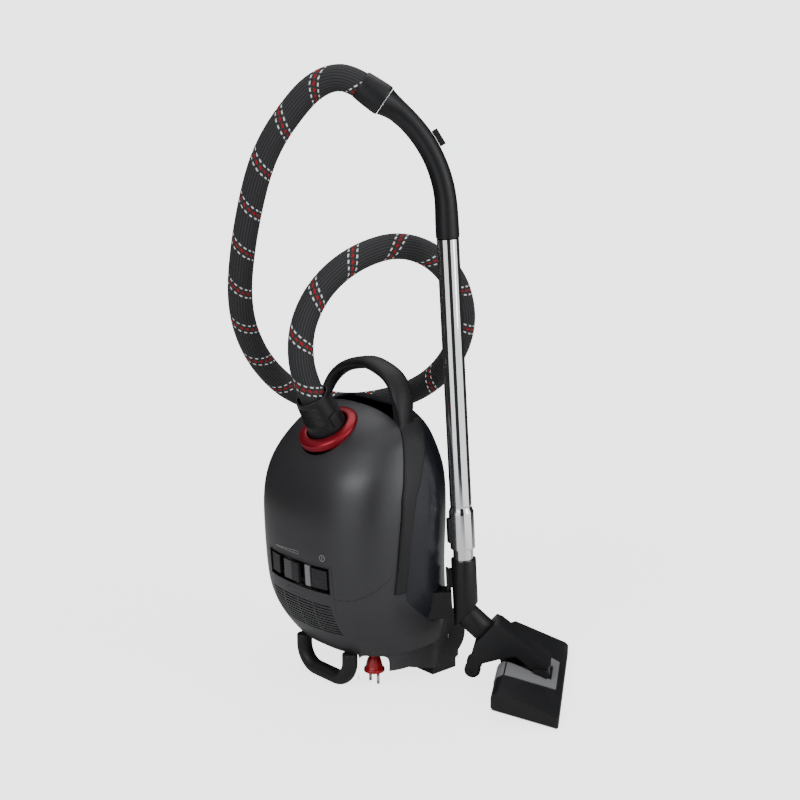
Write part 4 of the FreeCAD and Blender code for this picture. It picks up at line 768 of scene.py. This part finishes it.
grained_black = moulding("grained_black", rgb(0.009, 0.009, 0.010), 0.44, grain=0.0007, depth=0.00003)
cover_grey = moulding("cover_satin_grey", rgb(0.20, 0.20, 0.205), 0.38, cloudy=0.04)
for node, width in (("wand_sleeve", 0.0012), ("elbow", 0.0008), ("neck", 0.0022), ("nozzle_body", 0.0026),
                    ("pedal", 0.0014), ("park_socket", 0.0014), ("lock_key", 0.0006), ("vent_slider", 0.0006),
                    ("caster_fork", 0.0006), ("caster_seat", 0.0006)):
    wear(softened_copy(node, node + "_softened", width), grained_black)
NOZZLE_FOOT = np.array((0.1689, 0.1500, 0))
AHEAD, SIDEWAYS = np.array((0.7773, 0.6291, 0)), np.array((-0.6291, 0.7773, 0))


def in_nozzle(x, y, z):
    """From the nozzle's own frame, x ahead from the elbow and y along the nozzle, to where it stands parked."""
    return NOZZLE_FOOT + x[..., None] * AHEAD + y[..., None] * SIDEWAYS + z[..., None] * np.array((0, 0, 1.0))


def nozzle_block(name, x, y, z):
    """A box in the nozzle's frame, as a cutter."""
    around_x, around_y = np.array(x)[[0, 1, 1, 0]], np.array(y)[[0, 0, 1, 1]]
    rings = np.stack([in_nozzle(around_x, around_y, around_x * 0 + height) for height in z])
    return from_grid(name, rings, caps=True)


cover_corners = np.array([(54, 33), (54, 43), (58, 51), (68, 55), (104, 41), (148, 23.9)]) / 1000
cover_path = eased_profile(cover_corners, closed=False)
along = np.gradient(cover_path, axis=0)
along /= np.linalg.norm(along, axis=1, keepdims=True)
outward = np.stack([-along[:, 1], along[:, 0]], -1)
spread = np.linspace(-1, 1, 25)[None] * (0.084 - (cover_path[:, :1] - 0.054) * 0.32)
cover_faces = []
for lift in (0.0013, 0.00005):
    lifted = cover_path + outward * lift
    cover_faces.append(in_nozzle(lifted[:, :1] + spread * 0, spread, lifted[:, 1:] + spread * 0))
cover = closed_plate("nozzle_cover_formed", *cover_faces)
cut_out(cover, nozzle_block("neck_gap", (0.030, 0.1395), (-0.0272, 0.0272), (0.0, 0.12)))
cut_out(cover, nozzle_block("pedal_gap", (0.072, 0.117), (0.0355, 0.095), (0.0, 0.12)))
cover.data.shade_smooth()
cover.data.set_sharp_from_angle(angle=math.radians(40))
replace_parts(cover, "nozzle_cover")
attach(wear(cover, cover_grey), "nozzle")

# ---- mains plug ------------------------------------------------------------------------------------------
# A red rubber plug hangs from the cord outlet by its own neck: a flared flange, finger grooves, two steel pins.
PLUG_FOOT = (0.068, 0.043, 0.022)
plug_profile = eased_profile(np.array([
    (0.2, 0), (8, 0), (16.4, 0.2), (17.0, 1.6), (17.0, 4.4), (16.2, 6.2), (14.2, 7.6), (13.6, 12), (12.2, 18),
    (10.4, 22), (8.6, 25), (7.4, 28), (7.0, 37.6), (3, 38), (0.2, 38)]) / 1000, 2)
plug_red = moulding("plug_red", rgb(0.34, 0.006, 0.010), 0.34, coat=0.25)
plug = turned("mains_plug_flared", plug_profile, PLUG_FOOT, (0, 0, 1), (1, 0, 0), 72,
              lambda angle, distance: -0.0010 * np.clip(1 - ((distance - 0.014) / 0.009) ** 2, 0, 1)
              * (0.5 + 0.5 * np.cos(angle * 6)))
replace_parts(plug, "mains_plug")
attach(wear(plug, plug_red), "canister")

# ---- dust bag ---------------------------------------------------------------------------------------------
# A paper bag fills the chamber under the deck lid: two crowned sides, tucked corners and shallow creases.
bag_low, bag_high = (np.array(corner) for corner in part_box("dust_bag"))
bag_mid, bag_half = (bag_low + bag_high) / 2, (bag_high - bag_low) / 2 - 0.002
longitude, latitude = np.meshgrid(np.linspace(0, 2 * math.pi, 160, endpoint=False), np.linspace(-1.53, 1.53, 90))


def bent_power(value, power):
    return np.sign(value) * np.abs(value) ** power


creases = (0.0016 * np.sin(longitude * 9 + np.sin(latitude * 3) * 2) + 0.0011 * np.sin(latitude * 11 + longitude * 4)
           + 0.0008 * np.sin(longitude * 23 + latitude * 7))
bag = np.stack([bent_power(np.cos(latitude), 0.55) * bent_power(np.cos(longitude), 0.5),
                bent_power(np.cos(latitude), 0.55) * bent_power(np.sin(longitude), 0.5),
                bent_power(np.sin(latitude), 0.7)], -1)
bag_points = bag_mid + bag * (bag_half - 0.003 + creases[..., None])
depth = (bag_points - RING_MID) @ RING_AXIS
off_axis = np.linalg.norm(bag_points - RING_MID - depth[..., None] * RING_AXIS, axis=-1)
near = np.clip((0.062 - off_axis) / 0.008, 0, 1)
bag_points = bag_points - RING_AXIS * (np.maximum(depth + 0.0615, 0) * near)[..., None]
paper = moulding("bag_paper", rgb(0.55, 0.50, 0.40), 0.85, grain=0.0015, depth=0.0002)
bag_piece = from_grid("dust_bag_paper", bag_points, caps=True)
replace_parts(bag_piece, "dust_bag")
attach(wear(bag_piece, paper), "canister")

# ---- the rest: wheels, motor, reel, filters and fasteners ---------------------------------------------------
# These keep the shape of their CAD nodes, with joined corners and smooth skins, each in its own finish.
steel = moulding("pin_steel", rgb(0.60, 0.59, 0.56), 0.26, metallic=1.0, cloudy=0.05)
finishes = {
    "casing_grey": deck_grey, "pan_black": pan_black, "soft_touch": soft_touch, "black_plastic": grained_black,
    "ring_red": ring_red, "plug_red": plug_red, "pin_steel": steel, "panel_button": key_black,
    "slider_gloss": slider_gloss, "chrome_tube": chrome, "cover_grey": cover_grey, "hose_fabric": knit, "bag_paper": paper,
    "wheel_rubber": moulding("wheel_rubber", rgb(0.016, 0.016, 0.016), 0.62, grain=0.0012, depth=0.00006),
    "bristle": moulding("brush_bristle", rgb(0.03, 0.03, 0.03), 0.75, grain=0.0004, depth=0.0002),
    "filter_foam": moulding("filter_foam", rgb(0.26, 0.26, 0.27), 0.9, grain=0.0010, depth=0.0004),
    "inner_plastic": moulding("inner_plastic", rgb(0.10, 0.10, 0.105), 0.5),
    "bag_card": moulding("bag_card", rgb(0.42, 0.32, 0.20), 0.82, grain=0.0012, depth=0.0001),
    "board_green": moulding("board_green", rgb(0.003, 0.022, 0.010), 0.4),
    "seal_rubber": moulding("seal_rubber", rgb(0.02, 0.02, 0.02), 0.7),
    "motor_steel": moulding("motor_steel", rgb(0.40, 0.40, 0.41), 0.34, metallic=0.9),
    "cord_black": moulding("cord_black", rgb(0.012, 0.012, 0.012), 0.5)}
standing_in = {node for obj in bpy.data.objects for node in obj.get("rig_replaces", [])}
for node, slot in sorted(SLOT_OF.items()):
    if node not in standing_in:
        piece = merged_copy(node, node + "_finished")
        piece.data.shade_smooth()
        piece.data.set_sharp_from_angle(angle=math.radians(32))
        wear(piece, finishes[slot])
    paint(finishes[slot], node)
